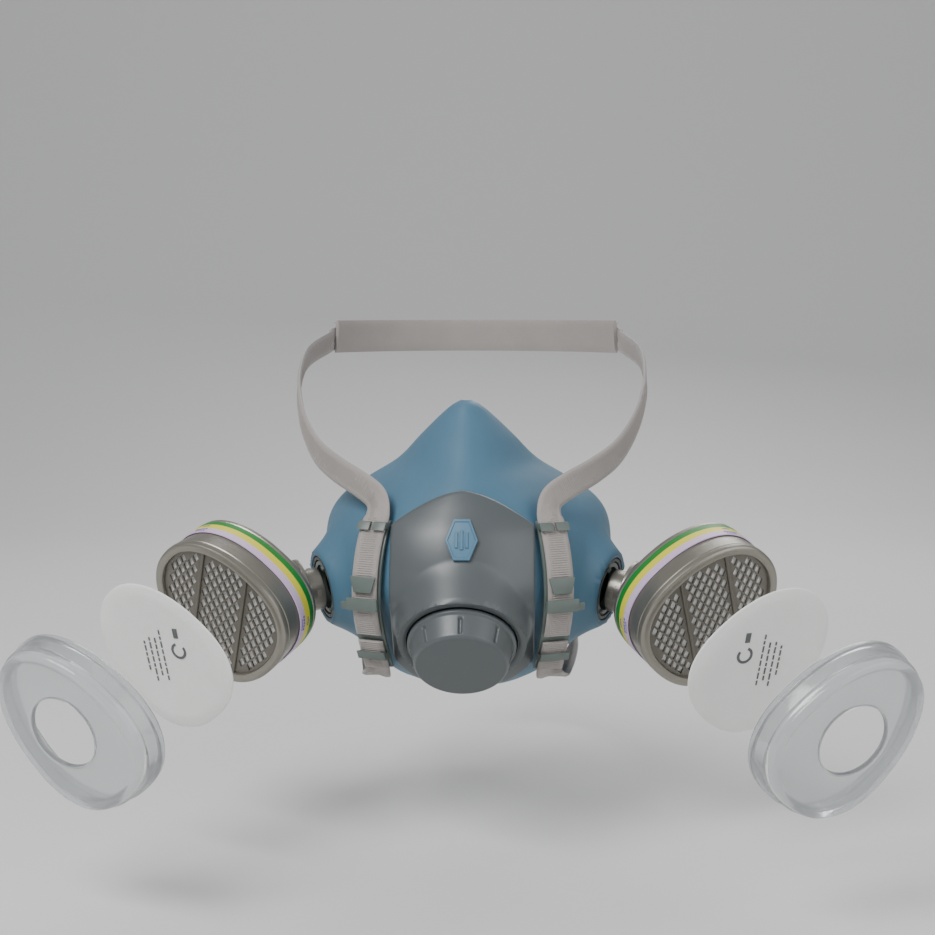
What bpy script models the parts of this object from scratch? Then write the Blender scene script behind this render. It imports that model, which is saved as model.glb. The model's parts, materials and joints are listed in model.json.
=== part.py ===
"""Half-mask respirator with two bayonet cartridges, set out with its cartridges, prefilter pads
and pad covers drawn off the facepiece.

Metres, +Z up. The wearer looks along -Y. The origin is the middle of the face seal, level with
the two inhalation ports. Left and right are as seen from the front, looking along +Y.
"""

import math

import bmesh
import bpy
from mathutils import Matrix, Vector

GAP = 0.0003

# Facepiece: horizontal sections, each (height, half width, seal edge y, front y, roundness)
SECTIONS = (
    (0.0845, 0.0025, -0.0205, -0.0240, 1.8),
    (0.0823, 0.0064, -0.0192, -0.0275, 1.8),
    (0.0775, 0.0120, -0.0160, -0.0320, 1.7),
    (0.0680, 0.0215, -0.0100, -0.0415, 1.6),
    (0.056, 0.033, -0.002, -0.053, 1.55),
    (0.047, 0.047, 0.004, -0.062, 1.6),
    (0.038, 0.060, 0.008, -0.069, 1.75),
    (0.028, 0.067, 0.010, -0.0755, 1.85),
    (0.014, 0.069, 0.010, -0.0805, 1.9),
    (0.002, 0.068, 0.009, -0.0825, 1.9),
    (-0.008, 0.066, 0.008, -0.0765, 1.95),
    (-0.020, 0.060, 0.006, -0.068, 2.0),
    (-0.032, 0.049, 0.004, -0.058, 2.1),
    (-0.042, 0.038, 0.002, -0.043, 2.2),
    (-0.049, 0.027, 0.000, -0.020, 2.2),
    (-0.052, 0.022, 0.000, -0.006, 2.0),
)
SILICONE_WALL = 0.0024

# Inhalation ports
PORT_CENTRE = (0.0655, -0.0285, -0.002)
PORT_OUTWARD = 66.0
PORT_DOWN = 10.0
PORT_RADIUS = 0.016
PORT_BORE = 0.0145
BOSS_BASE_RADIUS = 0.0265
BOSS_DEPTH = 0.014

# Exhalation valve, stacked along an axis that points forward and down
VALVE_CENTRE = (0.0, -0.0718, -0.0135)
VALVE_DOWN = 39.0
VALVE_BORE = 0.018
COLLAR_OUTER = 0.0283
COLLAR_INNER = 0.0242
COLLAR_TOP = 0.007
COLLAR_ROOT = 0.0125         # how far the collar reaches down before it is cut off
COLLAR_CORE_HALF_WIDTH = 0.036
COLLAR_CORE_LOW = -0.047
COLLAR_CORE_HIGH = 0.024
COLLAR_CORE_DEPTH = 0.040
CAP_RIM_RADIUS = 0.0237
CAP_FACE_RADIUS = 0.0197
CAP_FACE_HEIGHT = 0.019

# Front shroud
SHROUD_HALF_WIDTH = 0.0308
SHROUD_OFFSET = 0.0005
SHROUD_WALL = 0.0024
SHROUD_TOP = 0.0465
SHROUD_SHOULDER = 0.031
SHROUD_WAIST = -0.026
SHROUD_BOTTOM = -0.041
SHROUD_BOTTOM_HALF_WIDTH = 0.016

# Strap frames beside the shroud
FRAME_CENTRE = (0.0393, -0.0621, 0.0)
FRAME_TURN = 22.0
FRAME_WIDTH = 0.0136
FRAME_WALL = 0.0016
FRAME_RUN = ((0.042, -0.0108), (0.0345, -0.0052), (0.028, -0.0008), (0.020, 0.0030),
             (0.010, 0.0056), (0.0, 0.0062), (-0.010, 0.0042), (-0.022, -0.0006),
             (-0.0335, -0.0064), (-0.042, -0.0110))
STRAP_WIDTH = 0.0120
STRAP_THICK = 0.0014
STRAP_SLOT = 0.0028
ADJUSTER_THICK = 0.0018
ADJUSTER_TOP = 0.0010

# Cartridges: an egg outline, long axis diagonal, narrow end up and outward
EGG_LONG = 0.0350
EGG_SHORT = 0.0289
EGG_TAPER = 0.14
EGG_ROUNDNESS = 2.25
EGG_ANGLE = math.radians(50)
FACE_OUTWARD = 25.0
FACE_DOWN = 16.5
CARTRIDGE_DEPTH = 0.028
CARTRIDGE_WALL = 0.0014
NECK_LENGTH = 0.0140
NECK_RADIUS = 0.0115
NECK_BORE = 0.0085
SPIGOT_RADIUS = 0.0098
SPIGOT_DEPTH = 0.006
NECK_INWARD = 0.0140
NECK_BELOW = 0.0055
CARTRIDGE_TRAVEL = 0.0085
GRILLE_LONG = 0.0300
GRILLE_SHORT = 0.0236
PAD_THICK = 0.002
PAD_TRAVEL = 0.038
COVER_TRAVEL = 0.062
COVER_SKIRT = 0.012
COVER_WALL = 0.0013
COVER_INSIDE = 0.0011
COVER_HOLE = 0.0150

# Harness
CRADLE_HEIGHT = 0.018
CLASP_PIN = (0.0182, 0.1165, -0.0400)

COLOURS = {
    "blue_silicone": ((0.100, 0.220, 0.319), 0.55, 0.0),
    "grey_shell": ((0.110, 0.125, 0.130), 0.38, 0.0),
    "frame_grey": ((0.160, 0.195, 0.178), 0.45, 0.0),
    "dark_grey": ((0.020, 0.024, 0.028), 0.45, 0.0),
    "clear_flap": ((0.55, 0.50, 0.38), 0.35, 0.0),
    "webbing": ((0.320, 0.290, 0.280), 0.90, 0.0),
    "silver_shell": ((0.320, 0.300, 0.260), 0.32, 0.7),
    "label": ((0.610, 0.470, 0.670), 0.50, 0.0),
    "white_felt": ((0.80, 0.80, 0.78), 0.95, 0.0),
    "charcoal": ((0.010, 0.010, 0.011), 0.85, 0.0),
    "clear_cover": ((0.75, 0.78, 0.80), 0.12, 0.0),
}


# ---------------------------------------------------------------- scene and materials

def clear_scene():
    for thing in list(bpy.data.objects):
        bpy.data.objects.remove(thing, do_unlink=True)


def make_material(name):
    colour, roughness, metallic = COLOURS[name]
    material = bpy.data.materials.new(name)
    material.use_nodes = True
    shader = material.node_tree.nodes["Principled BSDF"]
    shader.inputs["Base Color"].default_value = (*colour, 1.0)
    shader.inputs["Roughness"].default_value = roughness
    shader.inputs["Metallic"].default_value = metallic
    return material


# ---------------------------------------------------------------- mesh helpers

def direction(outward, down, side=1):
    """Unit vector turned outward from straight ahead and down from level, in degrees."""
    turn, drop = math.radians(outward), math.radians(down)
    level = math.cos(drop)
    return Vector((side * math.sin(turn) * level, -math.cos(turn) * level, -math.sin(drop)))


def axis_matrix(origin, axis, up=Vector((0, 0, 1))):
    """Placement whose local Z lies along axis and whose local Y leans toward up."""
    z = Vector(axis).normalized()
    x = Vector(up).cross(z).normalized()
    y = z.cross(x)
    turn = Matrix((x, y, z)).transposed().to_4x4()
    return Matrix.Translation(Vector(origin)) @ turn


def add_object(name, mesh, material, smooth=True):
    """Links a named object, outward facing, shaded smooth with its hard edges kept."""
    thing = bpy.data.objects.new(name, mesh)
    bpy.context.scene.collection.objects.link(thing)
    mesh.materials.clear()
    mesh.materials.append(material)
    if smooth:
        mesh.shade_smooth()
        mesh.set_sharp_from_angle(angle=math.radians(35))
    return thing


def mesh_of(name, points, faces, place=None):
    """Mesh from points and faces, merged where they meet, with its normals pointing out."""
    mesh = bpy.data.meshes.new(name)
    bm = bmesh.new()
    corners = [bm.verts.new(place @ Vector(p) if place else Vector(p)) for p in points]
    for face in faces:
        bm.faces.new([corners[i] for i in face])
    bmesh.ops.remove_doubles(bm, verts=bm.verts, dist=1e-6)
    bmesh.ops.recalc_face_normals(bm, faces=bm.faces)
    bm.to_mesh(mesh)
    bm.free()
    return mesh


def turned_mesh(name, profile, place, steps=32):
    """Closed profile of (radius, height) points turned about local Z."""
    points, faces = [], []
    count = len(profile)
    for step in range(steps):
        angle = math.tau * step / steps
        for radius, height in profile:
            points.append((radius * math.cos(angle), radius * math.sin(angle), height))
    for step in range(steps):
        here, there = step * count, (step + 1) % steps * count
        for i in range(count):
            j = (i + 1) % count
            on_axis = (profile[i][0] < 1e-9, profile[j][0] < 1e-9)
            if all(on_axis):
                continue
            quad = [here + i, there + i, there + j, here + j]
            if on_axis[0]:
                quad.remove(there + i)
            if on_axis[1]:
                quad.remove(there + j)
            faces.append(quad)
    return mesh_of(name, points, faces, place)


def loft_mesh(name, rings, place=None, capped=True):
    """Rings of equal point counts joined in order; capped, or closed on itself if not."""
    count = len(rings[0])
    points = [p for ring in rings for p in ring]
    faces = []
    pairs = len(rings) - 1 if capped else len(rings)
    for r in range(pairs):
        here, there = r * count, (r + 1) % len(rings) * count
        for i in range(count):
            j = (i + 1) % count
            faces.append((here + i, here + j, there + j, there + i))
    if capped:
        faces.append(tuple(range(count)))
        faces.append(tuple((len(rings) - 1) * count + i for i in range(count)))
    return mesh_of(name, points, faces, place)


def mirror_to_left(name):
    """Copies NAME_right to NAME_left, mirrored in the plane of symmetry."""
    right = bpy.data.objects[name + "_right"]
    mesh = right.data.copy()
    mesh.transform(Matrix.Diagonal((-1, 1, 1, 1)))
    mesh.flip_normals()
    left = bpy.data.objects.new(name + "_left", mesh)
    bpy.context.scene.collection.objects.link(left)


def box_mesh(name, low, high, place=None):
    ring = [(low[0], low[1]), (high[0], low[1]), (high[0], high[1]), (low[0], high[1])]
    rings = [[(x, y, z) for x, y in ring] for z in (low[2], high[2])]
    return loft_mesh(name, rings, place)


def spider_mesh(reach, half, heights, place):
    """Four spokes in a cross, widened where they meet."""
    hub = 3 * half
    quarter = [(reach, -half), (reach, half), (hub, half), (half, hub)]
    ring = []
    for turn in range(4):
        c, s = math.cos(turn * math.pi / 2), math.sin(turn * math.pi / 2)
        ring += [(x * c - y * s, x * s + y * c) for x, y in quarter]
    spin = place @ Matrix.Rotation(math.radians(38), 4, "Z")
    return loft_mesh("spider", [[(x, y, h) for x, y in ring] for h in heights], spin)


def combine(target, tool_mesh, operation):
    """Joins a tool to the target or cuts it away, exactly, and keeps the result."""
    tool = bpy.data.objects.new("tool", tool_mesh)
    bpy.context.scene.collection.objects.link(tool)
    cut = target.modifiers.new("cut", "BOOLEAN")
    cut.object = tool
    cut.operation = operation
    cut.solver = "EXACT"
    graph = bpy.context.evaluated_depsgraph_get()
    result = bpy.data.meshes.new_from_object(target.evaluated_get(graph))
    target.modifiers.clear()
    bm = bmesh.new()
    bm.from_mesh(result)
    bmesh.ops.remove_doubles(bm, verts=bm.verts, dist=3e-6)
    bmesh.ops.dissolve_degenerate(bm, edges=bm.edges, dist=1e-6)
    bm.to_mesh(result)
    bm.free()
    target.data = result
    bpy.data.objects.remove(tool, do_unlink=True)


def joined(meshes):
    """One mesh of several separate closed tools."""
    bm = bmesh.new()
    for mesh in meshes:
        bm.from_mesh(mesh)
    result = bpy.data.meshes.new("joined")
    bm.to_mesh(result)
    bm.free()
    return result


def smooth_rows(rows, at):
    """Values between rows by a Catmull-Rom curve; the rows' first column is the position."""
    rows = sorted(rows)
    keys = [row[0] for row in rows]
    at = min(max(at, keys[0]), keys[-1])
    i = max(k for k in range(len(keys) - 1) if keys[k] <= at)
    before, after = rows[max(i - 1, 0)], rows[min(i + 2, len(rows) - 1)]
    low, high = rows[i], rows[i + 1]
    span = high[0] - low[0]
    t = (at - low[0]) / span
    out = []
    for c in range(1, len(low)):
        slope_low = (high[c] - before[c]) / (high[0] - before[0]) * span
        slope_high = (after[c] - low[c]) / (after[0] - low[0]) * span
        out.append((2 * t**3 - 3 * t**2 + 1) * low[c] + (t**3 - 2 * t**2 + t) * slope_low
                   + (3 * t**2 - 2 * t**3) * high[c] + (t**3 - t**2) * slope_high)
    return out


# ---------------------------------------------------------------- facepiece surface

def section_point(turn, height):
    """Point of the facepiece's outer surface; turn runs from 0 at +X round the front to pi."""
    half, seal, front, roundness = smooth_rows(SECTIONS, height)
    c, s = math.cos(turn), math.sin(turn)
    x = half * math.copysign(abs(c) ** (2 / roundness), c)
    y = seal + (front - seal) * abs(s) ** (2 / roundness)
    return Vector((x, y, height))


def skin_point(x, height, lift=0.0):
    """Point of the facepiece's front at x and height, lifted off it along its normal."""
    def flat(px, pz):
        half, seal, front, roundness = smooth_rows(SECTIONS, pz)
        part = max(0.0, 1 - abs(px / half) ** roundness) ** (1 / roundness)
        return Vector((px, seal + (front - seal) * part, pz))
    step = 0.0004
    here = flat(x, height)
    across = flat(x + step, height) - flat(x - step, height)
    up = flat(x, height + step) - flat(x, height - step)
    normal = across.cross(up).normalized()
    return here + normal * lift


def build_facepiece(material):
    across, rows = 22, 15
    low, high = SECTIONS[-1][0], SECTIONS[0][0]
    mesh = bpy.data.meshes.new("facepiece")
    bm = bmesh.new()
    grid = []
    for r in range(rows):
        height = low + (high - low) * (0.5 - 0.5 * math.cos(math.pi * r / (rows - 1)))
        grid.append([bm.verts.new(section_point(math.pi * c / across, height))
                     for c in range(across + 1)])
    for lower, upper in zip(grid, grid[1:]):
        for c in range(across):
            bm.faces.new((lower[c + 1], lower[c], upper[c], upper[c + 1]))
    bm.to_mesh(mesh)
    bm.free()
    shell = add_object("facepiece", mesh, material)
    wall = shell.modifiers.new("wall", "SOLIDIFY")
    wall.thickness = SILICONE_WALL
    wall.offset = -1
    graph = bpy.context.evaluated_depsgraph_get()
    shell.data = bpy.data.meshes.new_from_object(shell.evaluated_get(graph))
    shell.modifiers.clear()
    boss = [(0, -BOSS_DEPTH), (BOSS_BASE_RADIUS, -BOSS_DEPTH), (PORT_RADIUS + 0.0015, -0.002),
            (0, -0.002)]
    bosses, bores = [], [turned_mesh("bore", rod(VALVE_BORE, -0.016, 0.012), valve_place(), 32)]
    for side in (-1, 1):
        bosses.append(turned_mesh("boss", boss, port_place(side), 26))
        bores.append(turned_mesh("bore", rod(PORT_BORE, -0.030, 0.004), port_place(side), 26))
    combine(shell, joined(bosses), "UNION")
    combine(shell, joined(bores), "DIFFERENCE")
    return shell


def rod(radius, low, high):
    return [(0, low), (radius, low), (radius, high), (0, high)]


def tube(inner, outer, low, high):
    return [(inner, low), (outer, low), (outer, high), (inner, high)]


def port_place(side=1):
    centre = Vector(PORT_CENTRE)
    centre.x *= side
    return axis_matrix(centre, direction(PORT_OUTWARD, PORT_DOWN, side))


def valve_place():
    return axis_matrix(VALVE_CENTRE, direction(0, VALVE_DOWN, 1))


# ---------------------------------------------------------------- front of the mask

def build_shroud(material):
    """Shell over the facepiece's front, with a raised collar round the exhalation valve."""
    across, rows = 12, 14

    def layer(lift):
        points = []
        for r in range(rows + 1):
            up = r / rows
            for c in range(across + 1):
                side = 2 * c / across - 1
                crest = SHROUD_SHOULDER + (SHROUD_TOP - SHROUD_SHOULDER) * (1 - abs(side) ** 1.5)
                height = SHROUD_BOTTOM + (crest - SHROUD_BOTTOM) * up
                if height < SHROUD_WAIST:
                    fall = (SHROUD_WAIST - height) / (SHROUD_WAIST - SHROUD_BOTTOM)
                else:
                    fall = 0.0
                half = SHROUD_HALF_WIDTH + (SHROUD_BOTTOM_HALF_WIDTH - SHROUD_HALF_WIDTH) * fall**2
                points.append(skin_point(side * half, height, lift))
        return points

    under, over = layer(SHROUD_OFFSET), layer(SHROUD_OFFSET + SHROUD_WALL)
    shell = add_object("front_shroud", mesh_of("front_shroud", under + over,
                                               sheet_faces(across, rows)), material)
    place = valve_place()
    combine(shell, collar_mesh(place, material), "UNION")
    opening = rod(COLLAR_INNER, -0.014, COLLAR_TOP + 0.012)
    combine(shell, turned_mesh("opening", opening, place, 40), "DIFFERENCE")
    return shell


def collar_mesh(place, material):
    """Collar round the exhalation valve, cut off inside the shroud's wall all round."""
    rim = tube(COLLAR_INNER - 0.002, COLLAR_OUTER, -COLLAR_ROOT, COLLAR_TOP)
    collar = add_object("collar", turned_mesh("collar", rim, place, 40), material)
    across, rows = 12, 14
    front = [skin_point(COLLAR_CORE_HALF_WIDTH * (2 * c / across - 1),
                        COLLAR_CORE_LOW + (COLLAR_CORE_HIGH - COLLAR_CORE_LOW) * r / rows,
                        SHROUD_OFFSET + SHROUD_WALL / 2)
             for r in range(rows + 1) for c in range(across + 1)]
    back = [point + Vector((0, COLLAR_CORE_DEPTH, 0)) for point in front]
    combine(collar, mesh_of("core", front + back, sheet_faces(across, rows)), "DIFFERENCE")
    mesh = collar.data
    bpy.data.objects.remove(collar, do_unlink=True)
    return mesh


def sheet_faces(across, rows):
    """Faces of a closed slab made of two grids of (across + 1) by (rows + 1) points."""
    stride = across + 1
    total = stride * (rows + 1)
    faces = []
    for r in range(rows):
        for c in range(across):
            a, b = r * stride + c, (r + 1) * stride + c
            faces.append((a, a + 1, b + 1, b))
            faces.append((total + a, total + b, total + b + 1, total + a + 1))
    edge = ([c for c in range(across)] + [r * stride + across for r in range(rows)]
            + [rows * stride + c for c in range(across, 0, -1)]
            + [r * stride for r in range(rows, 0, -1)])
    for a, b in zip(edge, edge[1:] + edge[:1]):
        faces.append((a, total + a, total + b, b))
    return faces


def build_badge(material):
    """Six-sided badge that follows the shroud, with three raised bars."""
    centre, half_width, half_height, flat = 0.0262, 0.0066, 0.0078, 0.0033
    corners = [(half_width, 0), (flat, half_height), (-flat, half_height), (-half_width, 0),
               (-flat, -half_height), (flat, -half_height)]
    outline = []
    for (x0, z0), (x1, z1) in zip(corners, corners[1:] + corners[:1]):
        outline += [(x0, z0), ((x0 + x1) / 2, (z0 + z1) / 2)]
    low = SHROUD_OFFSET + SHROUD_WALL + 0.0004
    high = low + 0.0013
    rings = [[skin_point(x, centre + z, lift) for x, z in outline] for lift in (low, high)]
    points = rings[0] + rings[1] + [skin_point(0, centre, low), skin_point(0, centre, high)]
    count = len(outline)
    faces = []
    for i in range(count):
        j = (i + 1) % count
        faces.append((i, j, count + j, count + i))
        faces.append((i, j, 2 * count))
        faces.append((count + i, count + j, 2 * count + 1))
    return add_object("size_badge", mesh_of("size_badge", points, faces), material, smooth=False)


def build_valve(materials):
    """Exhalation valve: seat with spokes, flap, sealing ring and cover."""
    place = valve_place()
    seat_profile = [(0.0150, -0.005), (0.0176, -0.005), (0.0176, 0.0022), (0.0215, 0.0022),
                    (0.0215, 0.0040), (0.0150, 0.0040)]
    seat = add_object("valve_seat", turned_mesh("valve_seat", seat_profile, place, 32),
                      materials["dark_grey"])
    combine(seat, spider_mesh(0.0162, 0.0009, (0.0024, 0.0037), place), "UNION")
    flap = [(0, 0.0043), (0.0150, 0.0043), (0.0165, 0.0046), (0.0165, 0.0050), (0, 0.0050)]
    add_object("exhalation_flap", turned_mesh("exhalation_flap", flap, place, 32),
               materials["clear_flap"])
    ring = [(0.0196 + 0.0008 * math.cos(a), 0.0052 + 0.0008 * math.sin(a))
            for a in (math.tau * k / 6 for k in range(6))]
    add_object("valve_cover_seal", turned_mesh("valve_cover_seal", ring, place, 24),
               materials["dark_grey"])
    rim, face, top = CAP_RIM_RADIUS, CAP_FACE_RADIUS, CAP_FACE_HEIGHT
    cap_profile = [(rim - 0.0026, 0.0064), (rim, 0.0064), (rim, 0.0082), (rim - 0.0009, 0.0090),
                   (face + 0.0006, top - 0.0010), (face - 0.0004, top), (0, top), (0, top - 0.0017),
                   (face - 0.0018, top - 0.0017), (rim - 0.0026, 0.0090)]
    cover = add_object("valve_cover", turned_mesh("valve_cover", cap_profile, place, 32),
                       materials["grey_shell"])
    combine(cover, box_mesh("outlet", (-0.008, -0.030, 0.0100), (0.008, -0.014, 0.0140), place),
            "DIFFERENCE")


# ---------------------------------------------------------------- ports

def build_port(materials):
    """Connector in the facepiece, its lock ring and the inhalation flap behind it."""
    place = port_place()
    body = [(0.0098, -0.0090), (0.0141, -0.0090), (0.0141, -0.0017), (PORT_RADIUS, -0.0017),
            (PORT_RADIUS, 0.0008), (0.0128, 0.0008), (0.0128, -0.0046), (0.0098, -0.0066)]
    connector = add_object("port_connector_right",
                           turned_mesh("port_connector", body, place, 28), materials["dark_grey"])
    combine(connector, spider_mesh(0.0110, 0.0008, (-0.0087, -0.0075), place), "UNION")
    ring = [(0.0103, -0.0040), (0.0124, -0.0040), (0.0124, 0.0004), (0.0103, 0.0004)]
    lock = add_object("lock_ring_right", turned_mesh("lock_ring", ring, place, 28),
                      materials["frame_grey"])
    for turn in (0, 120, 240):
        spin = place @ Matrix.Rotation(math.radians(turn), 4, "Z")
        combine(lock, box_mesh("fin", (0.0108, -0.0012, 0.0), (0.0122, 0.0012, 0.0016), spin),
                "UNION")
    flap = [(0, -0.0098), (0.0104, -0.0098), (0.0104, -0.0093), (0, -0.0093)]
    add_object("inhalation_flap_right", turned_mesh("inhalation_flap", flap, place, 24),
               materials["clear_flap"])


# ---------------------------------------------------------------- strap frames and straps

def frame_point(across, lift, height):
    """Point of a strap frame: across its width, off its plane and up."""
    turn = math.radians(FRAME_TURN)
    centre = Vector(FRAME_CENTRE)
    spread = Vector((math.cos(turn), math.sin(turn), 0))
    normal = Vector((math.sin(turn), -math.cos(turn), 0))
    return centre + spread * across + normal * lift + Vector((0, 0, height))


def frame_lift(height):
    return smooth_rows(FRAME_RUN, height)[0]


def frame_slab(name, across, lifts, heights):
    """Slab that follows the frame: across and lifts are (low, high), heights a list."""
    rings = []
    for height in heights:
        base = frame_lift(height)
        rings.append([frame_point(across[i], base + lifts[j], height)
                      for i, j in ((0, 0), (1, 0), (1, 1), (0, 1))])
    return loft_mesh(name, rings)


def spaced(low, high, count):
    return [low + (high - low) * i / (count - 1) for i in range(count)]


def build_frame(materials):
    """Ladder frame with two hook fingers over the strap at its top and a slotted foot."""
    half = FRAME_WIDTH / 2
    plate = frame_slab("frame", (-half, half), (0, FRAME_WALL), spaced(-0.0320, 0.0335, 14))
    frame = add_object("strap_frame_right", plate, materials["frame_grey"], smooth=False)
    over = FRAME_WALL + STRAP_SLOT
    inner = STRAP_WIDTH / 2 + GAP
    for low, high in ((-half, -inner), (inner, half)):
        for heights in ((0.0305, 0.0332), (-0.0275, -0.0245)):
            combine(frame, frame_slab("post", (low, high), (FRAME_WALL - 0.0006, over + 0.0013),
                                      spaced(*heights, 2)), "UNION")
    for low, high in ((-half, -0.0008), (0.0008, half)):
        combine(frame, frame_slab("finger", (low, high), (over, over + 0.0015),
                                  spaced(0.0302, 0.0334, 2)), "UNION")
    combine(frame, frame_slab("foot_bar", (-half, half), (over, over + 0.0014),
                              spaced(-0.0278, -0.0242, 2)), "UNION")
    return frame


def build_keeper(materials):
    """Tapered plate clipped over the strap."""
    lift = FRAME_WALL + STRAP_SLOT
    rings = []
    for height, half in ((0.0035, 0.0042), (0.0105, 0.0062)):
        base = frame_lift(height)
        rings.append([frame_point(a, base + b, height)
                      for a, b in ((-half, lift), (half, lift), (half, lift + 0.001),
                                   (-half, lift + 0.001))])
    add_object("strap_keeper_right", loft_mesh("strap_keeper", rings), materials["frame_grey"],
               smooth=False)


def build_adjuster(materials):
    """Cross bar with a thumb tab that tilts off the strap to let it slip."""
    lift = FRAME_WALL + STRAP_SLOT
    half = FRAME_WIDTH / 2 + 0.0006
    bar = frame_slab("adjuster", (-half, half), (lift, lift + ADJUSTER_THICK),
                     spaced(-0.0045, ADJUSTER_TOP, 2))
    lever = add_object("strap_adjuster_right", bar, materials["frame_grey"], smooth=False)
    tab = frame_slab("tab", (half - 0.0005, half + 0.0028), (lift + 0.0002, lift + 0.0016),
                     spaced(-0.0040, -0.0008, 2))
    combine(lever, tab, "UNION")


def ribbon(name, route, material, width=STRAP_WIDTH, thick=STRAP_THICK):
    """Flat strap along route: points with outward normals, joined by a smooth curve."""
    rings = []
    count = len(route)
    for i, (point, normal) in enumerate(route):
        ahead, behind = route[min(i + 1, count - 1)][0], route[max(i - 1, 0)][0]
        along = (ahead - behind).normalized()
        across = along.cross(normal).normalized() * (width / 2)
        out = across.cross(along).normalized() * (thick / 2)
        if out.dot(normal) < 0:
            out = -out
        rings.append([point - across - out, point + across - out,
                      point + across + out, point - across + out])
    return add_object(name, loft_mesh(name, rings), material)


def curve_through(knots, steps):
    """Positions and normals along a smooth curve through knots, each (position, normal)."""
    rows = [(float(i), *p, *n) for i, (p, n) in enumerate(knots)]
    out = []
    for k in range(steps + 1):
        values = smooth_rows(rows, (len(knots) - 1) * k / steps)
        out.append((Vector(values[:3]), Vector(values[3:]).normalized()))
    return out


def frame_knot(height):
    """Strap knot in the middle of the slot over the right-hand frame, at a height."""
    turn = math.radians(FRAME_TURN)
    point = frame_point(0, frame_lift(height) + FRAME_WALL + STRAP_SLOT / 2, height)
    return (tuple(point), (math.sin(turn), -math.cos(turn), 0.0))


UPPER_STRAP = (
    *(frame_knot(height) for height in spaced(-0.016, 0.037, 9)),
    ((0.0395, -0.0520, 0.0430), (0.42, -0.86, 0.10)),
    ((0.0475, -0.0440, 0.0480), (0.60, -0.76, 0.15)),
    ((0.0590, -0.0300, 0.0530), (0.76, -0.62, 0.15)),
    ((0.0700, -0.0140, 0.0595), (0.90, -0.42, 0.10)),
    ((0.0790, 0.0080, 0.0690), (0.96, -0.26, 0.05)),
    ((0.0850, 0.0320, 0.0790), (0.98, -0.14, 0.05)),
    ((0.0885, 0.0560, 0.0900), (0.99, -0.04, 0.08)),
    ((0.0880, 0.0850, 0.1010), (0.99, 0.10, 0.10)),
    ((0.0800, 0.1180, 0.1080), (0.90, 0.40, 0.12)),
)
LOWER_STRAP = (
    *(frame_knot(height) for height in spaced(-0.0190, -0.0312, 5)),
    ((0.0381, -0.0591, -0.0332), (0.35, -0.84, -0.42)),
    ((0.0384, -0.0570, -0.0353), (0.25, -0.55, -0.80)),
    ((0.0396, -0.0535, -0.0363), (0.05, -0.15, -0.99)),
    ((0.0408, -0.0430, -0.0388), (0.00, -0.15, -0.99)),
    ((0.0420, -0.0310, -0.0420), (0.00, -0.15, -0.99)),
    ((0.0438, -0.0120, -0.0448), (0.05, -0.05, -1.00)),
    ((0.0470, 0.0100, -0.0455), (0.35, 0.00, -0.94)),
    ((0.0505, 0.0350, -0.0450), (0.75, 0.05, -0.65)),
    ((0.0520, 0.0620, -0.0430), (0.98, 0.20, -0.10)),
    ((0.0440, 0.0930, -0.0410), (0.70, 0.70, 0.0)),
    ((0.0300, 0.1090, -0.0400), (0.30, 0.95, 0.0)),
    ((0.0190, 0.1145, -0.0400), (0.15, 0.99, 0.0)),
)


def build_harness(materials):
    ribbon("upper_strap_right", curve_through(UPPER_STRAP, 40), materials["webbing"])
    ribbon("neck_strap_right", curve_through(LOWER_STRAP, 28), materials["webbing"])
    arc = []
    for k in range(25):
        angle = math.radians(-60 + 120 * k / 24)
        normal = (math.sin(angle), math.cos(angle), 0.08)
        arc.append((Vector((0.0895 * math.sin(angle), 0.0760 + 0.093 * math.cos(angle),
                            0.1110)), Vector(normal)))
    ribbon("head_cradle", arc, materials["webbing"], CRADLE_HEIGHT, 0.0018)


def build_clasp(materials):
    """Neck clasp: a loop half on the left strap and a hook half that swings off it."""
    y = 0.1160
    loop = add_object("clasp_loop", box_mesh("clasp_loop", (-0.0185, y - 0.0010, -0.0480),
                                             (0.0020, y + 0.0010, -0.0320)),
                      materials["frame_grey"], smooth=False)
    combine(loop, box_mesh("slot", (-0.0045, y - 0.003, -0.0445), (-0.0010, y + 0.003, -0.0355)),
            "DIFFERENCE")
    hook = add_object("clasp_hook", box_mesh("clasp_hook", (-0.0080, y + 0.0014, -0.0475),
                                             (0.0185, y + 0.0032, -0.0325)),
                      materials["frame_grey"], smooth=False)
    combine(hook, box_mesh("step", (0.0024, y - 0.0010, -0.0475), (0.0185, y + 0.0018, -0.0325)),
            "UNION")
    combine(hook, box_mesh("tooth", (-0.0040, y - 0.0006, -0.0435), (-0.0016, y + 0.0018, -0.0365)),
            "UNION")


# ---------------------------------------------------------------- cartridges

def egg(grow, steps=44):
    """Egg outline grown outward; local X outward from the mask, local Y up."""
    points = []
    for k in range(steps):
        angle = math.tau * k / steps
        c, s = math.cos(angle), math.sin(angle)
        u = math.copysign(abs(c) ** (2 / EGG_ROUNDNESS), c)
        v = math.copysign(abs(s) ** (2 / EGG_ROUNDNESS), s) * (1 - EGG_TAPER * u)
        x, y = (EGG_LONG + grow) * u, (EGG_SHORT + grow) * v
        points.append((x * math.cos(EGG_ANGLE) - y * math.sin(EGG_ANGLE),
                       x * math.sin(EGG_ANGLE) + y * math.cos(EGG_ANGLE)))
    return points


def egg_stack(name, place, layers, steps=44):
    """Solid through (grow, height) layers; closed on itself, so it can be a cup or a ring."""
    rings = [[(x, y, height) for x, y in egg(grow, steps)] for grow, height in layers]
    return loft_mesh(name, rings, place, capped=False)


def egg_block(name, place, grow, low, high, steps=44):
    rings = [[(x, y, h) for x, y in egg(grow, steps)] for h in (low, high)]
    return loft_mesh(name, rings, place)


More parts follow.
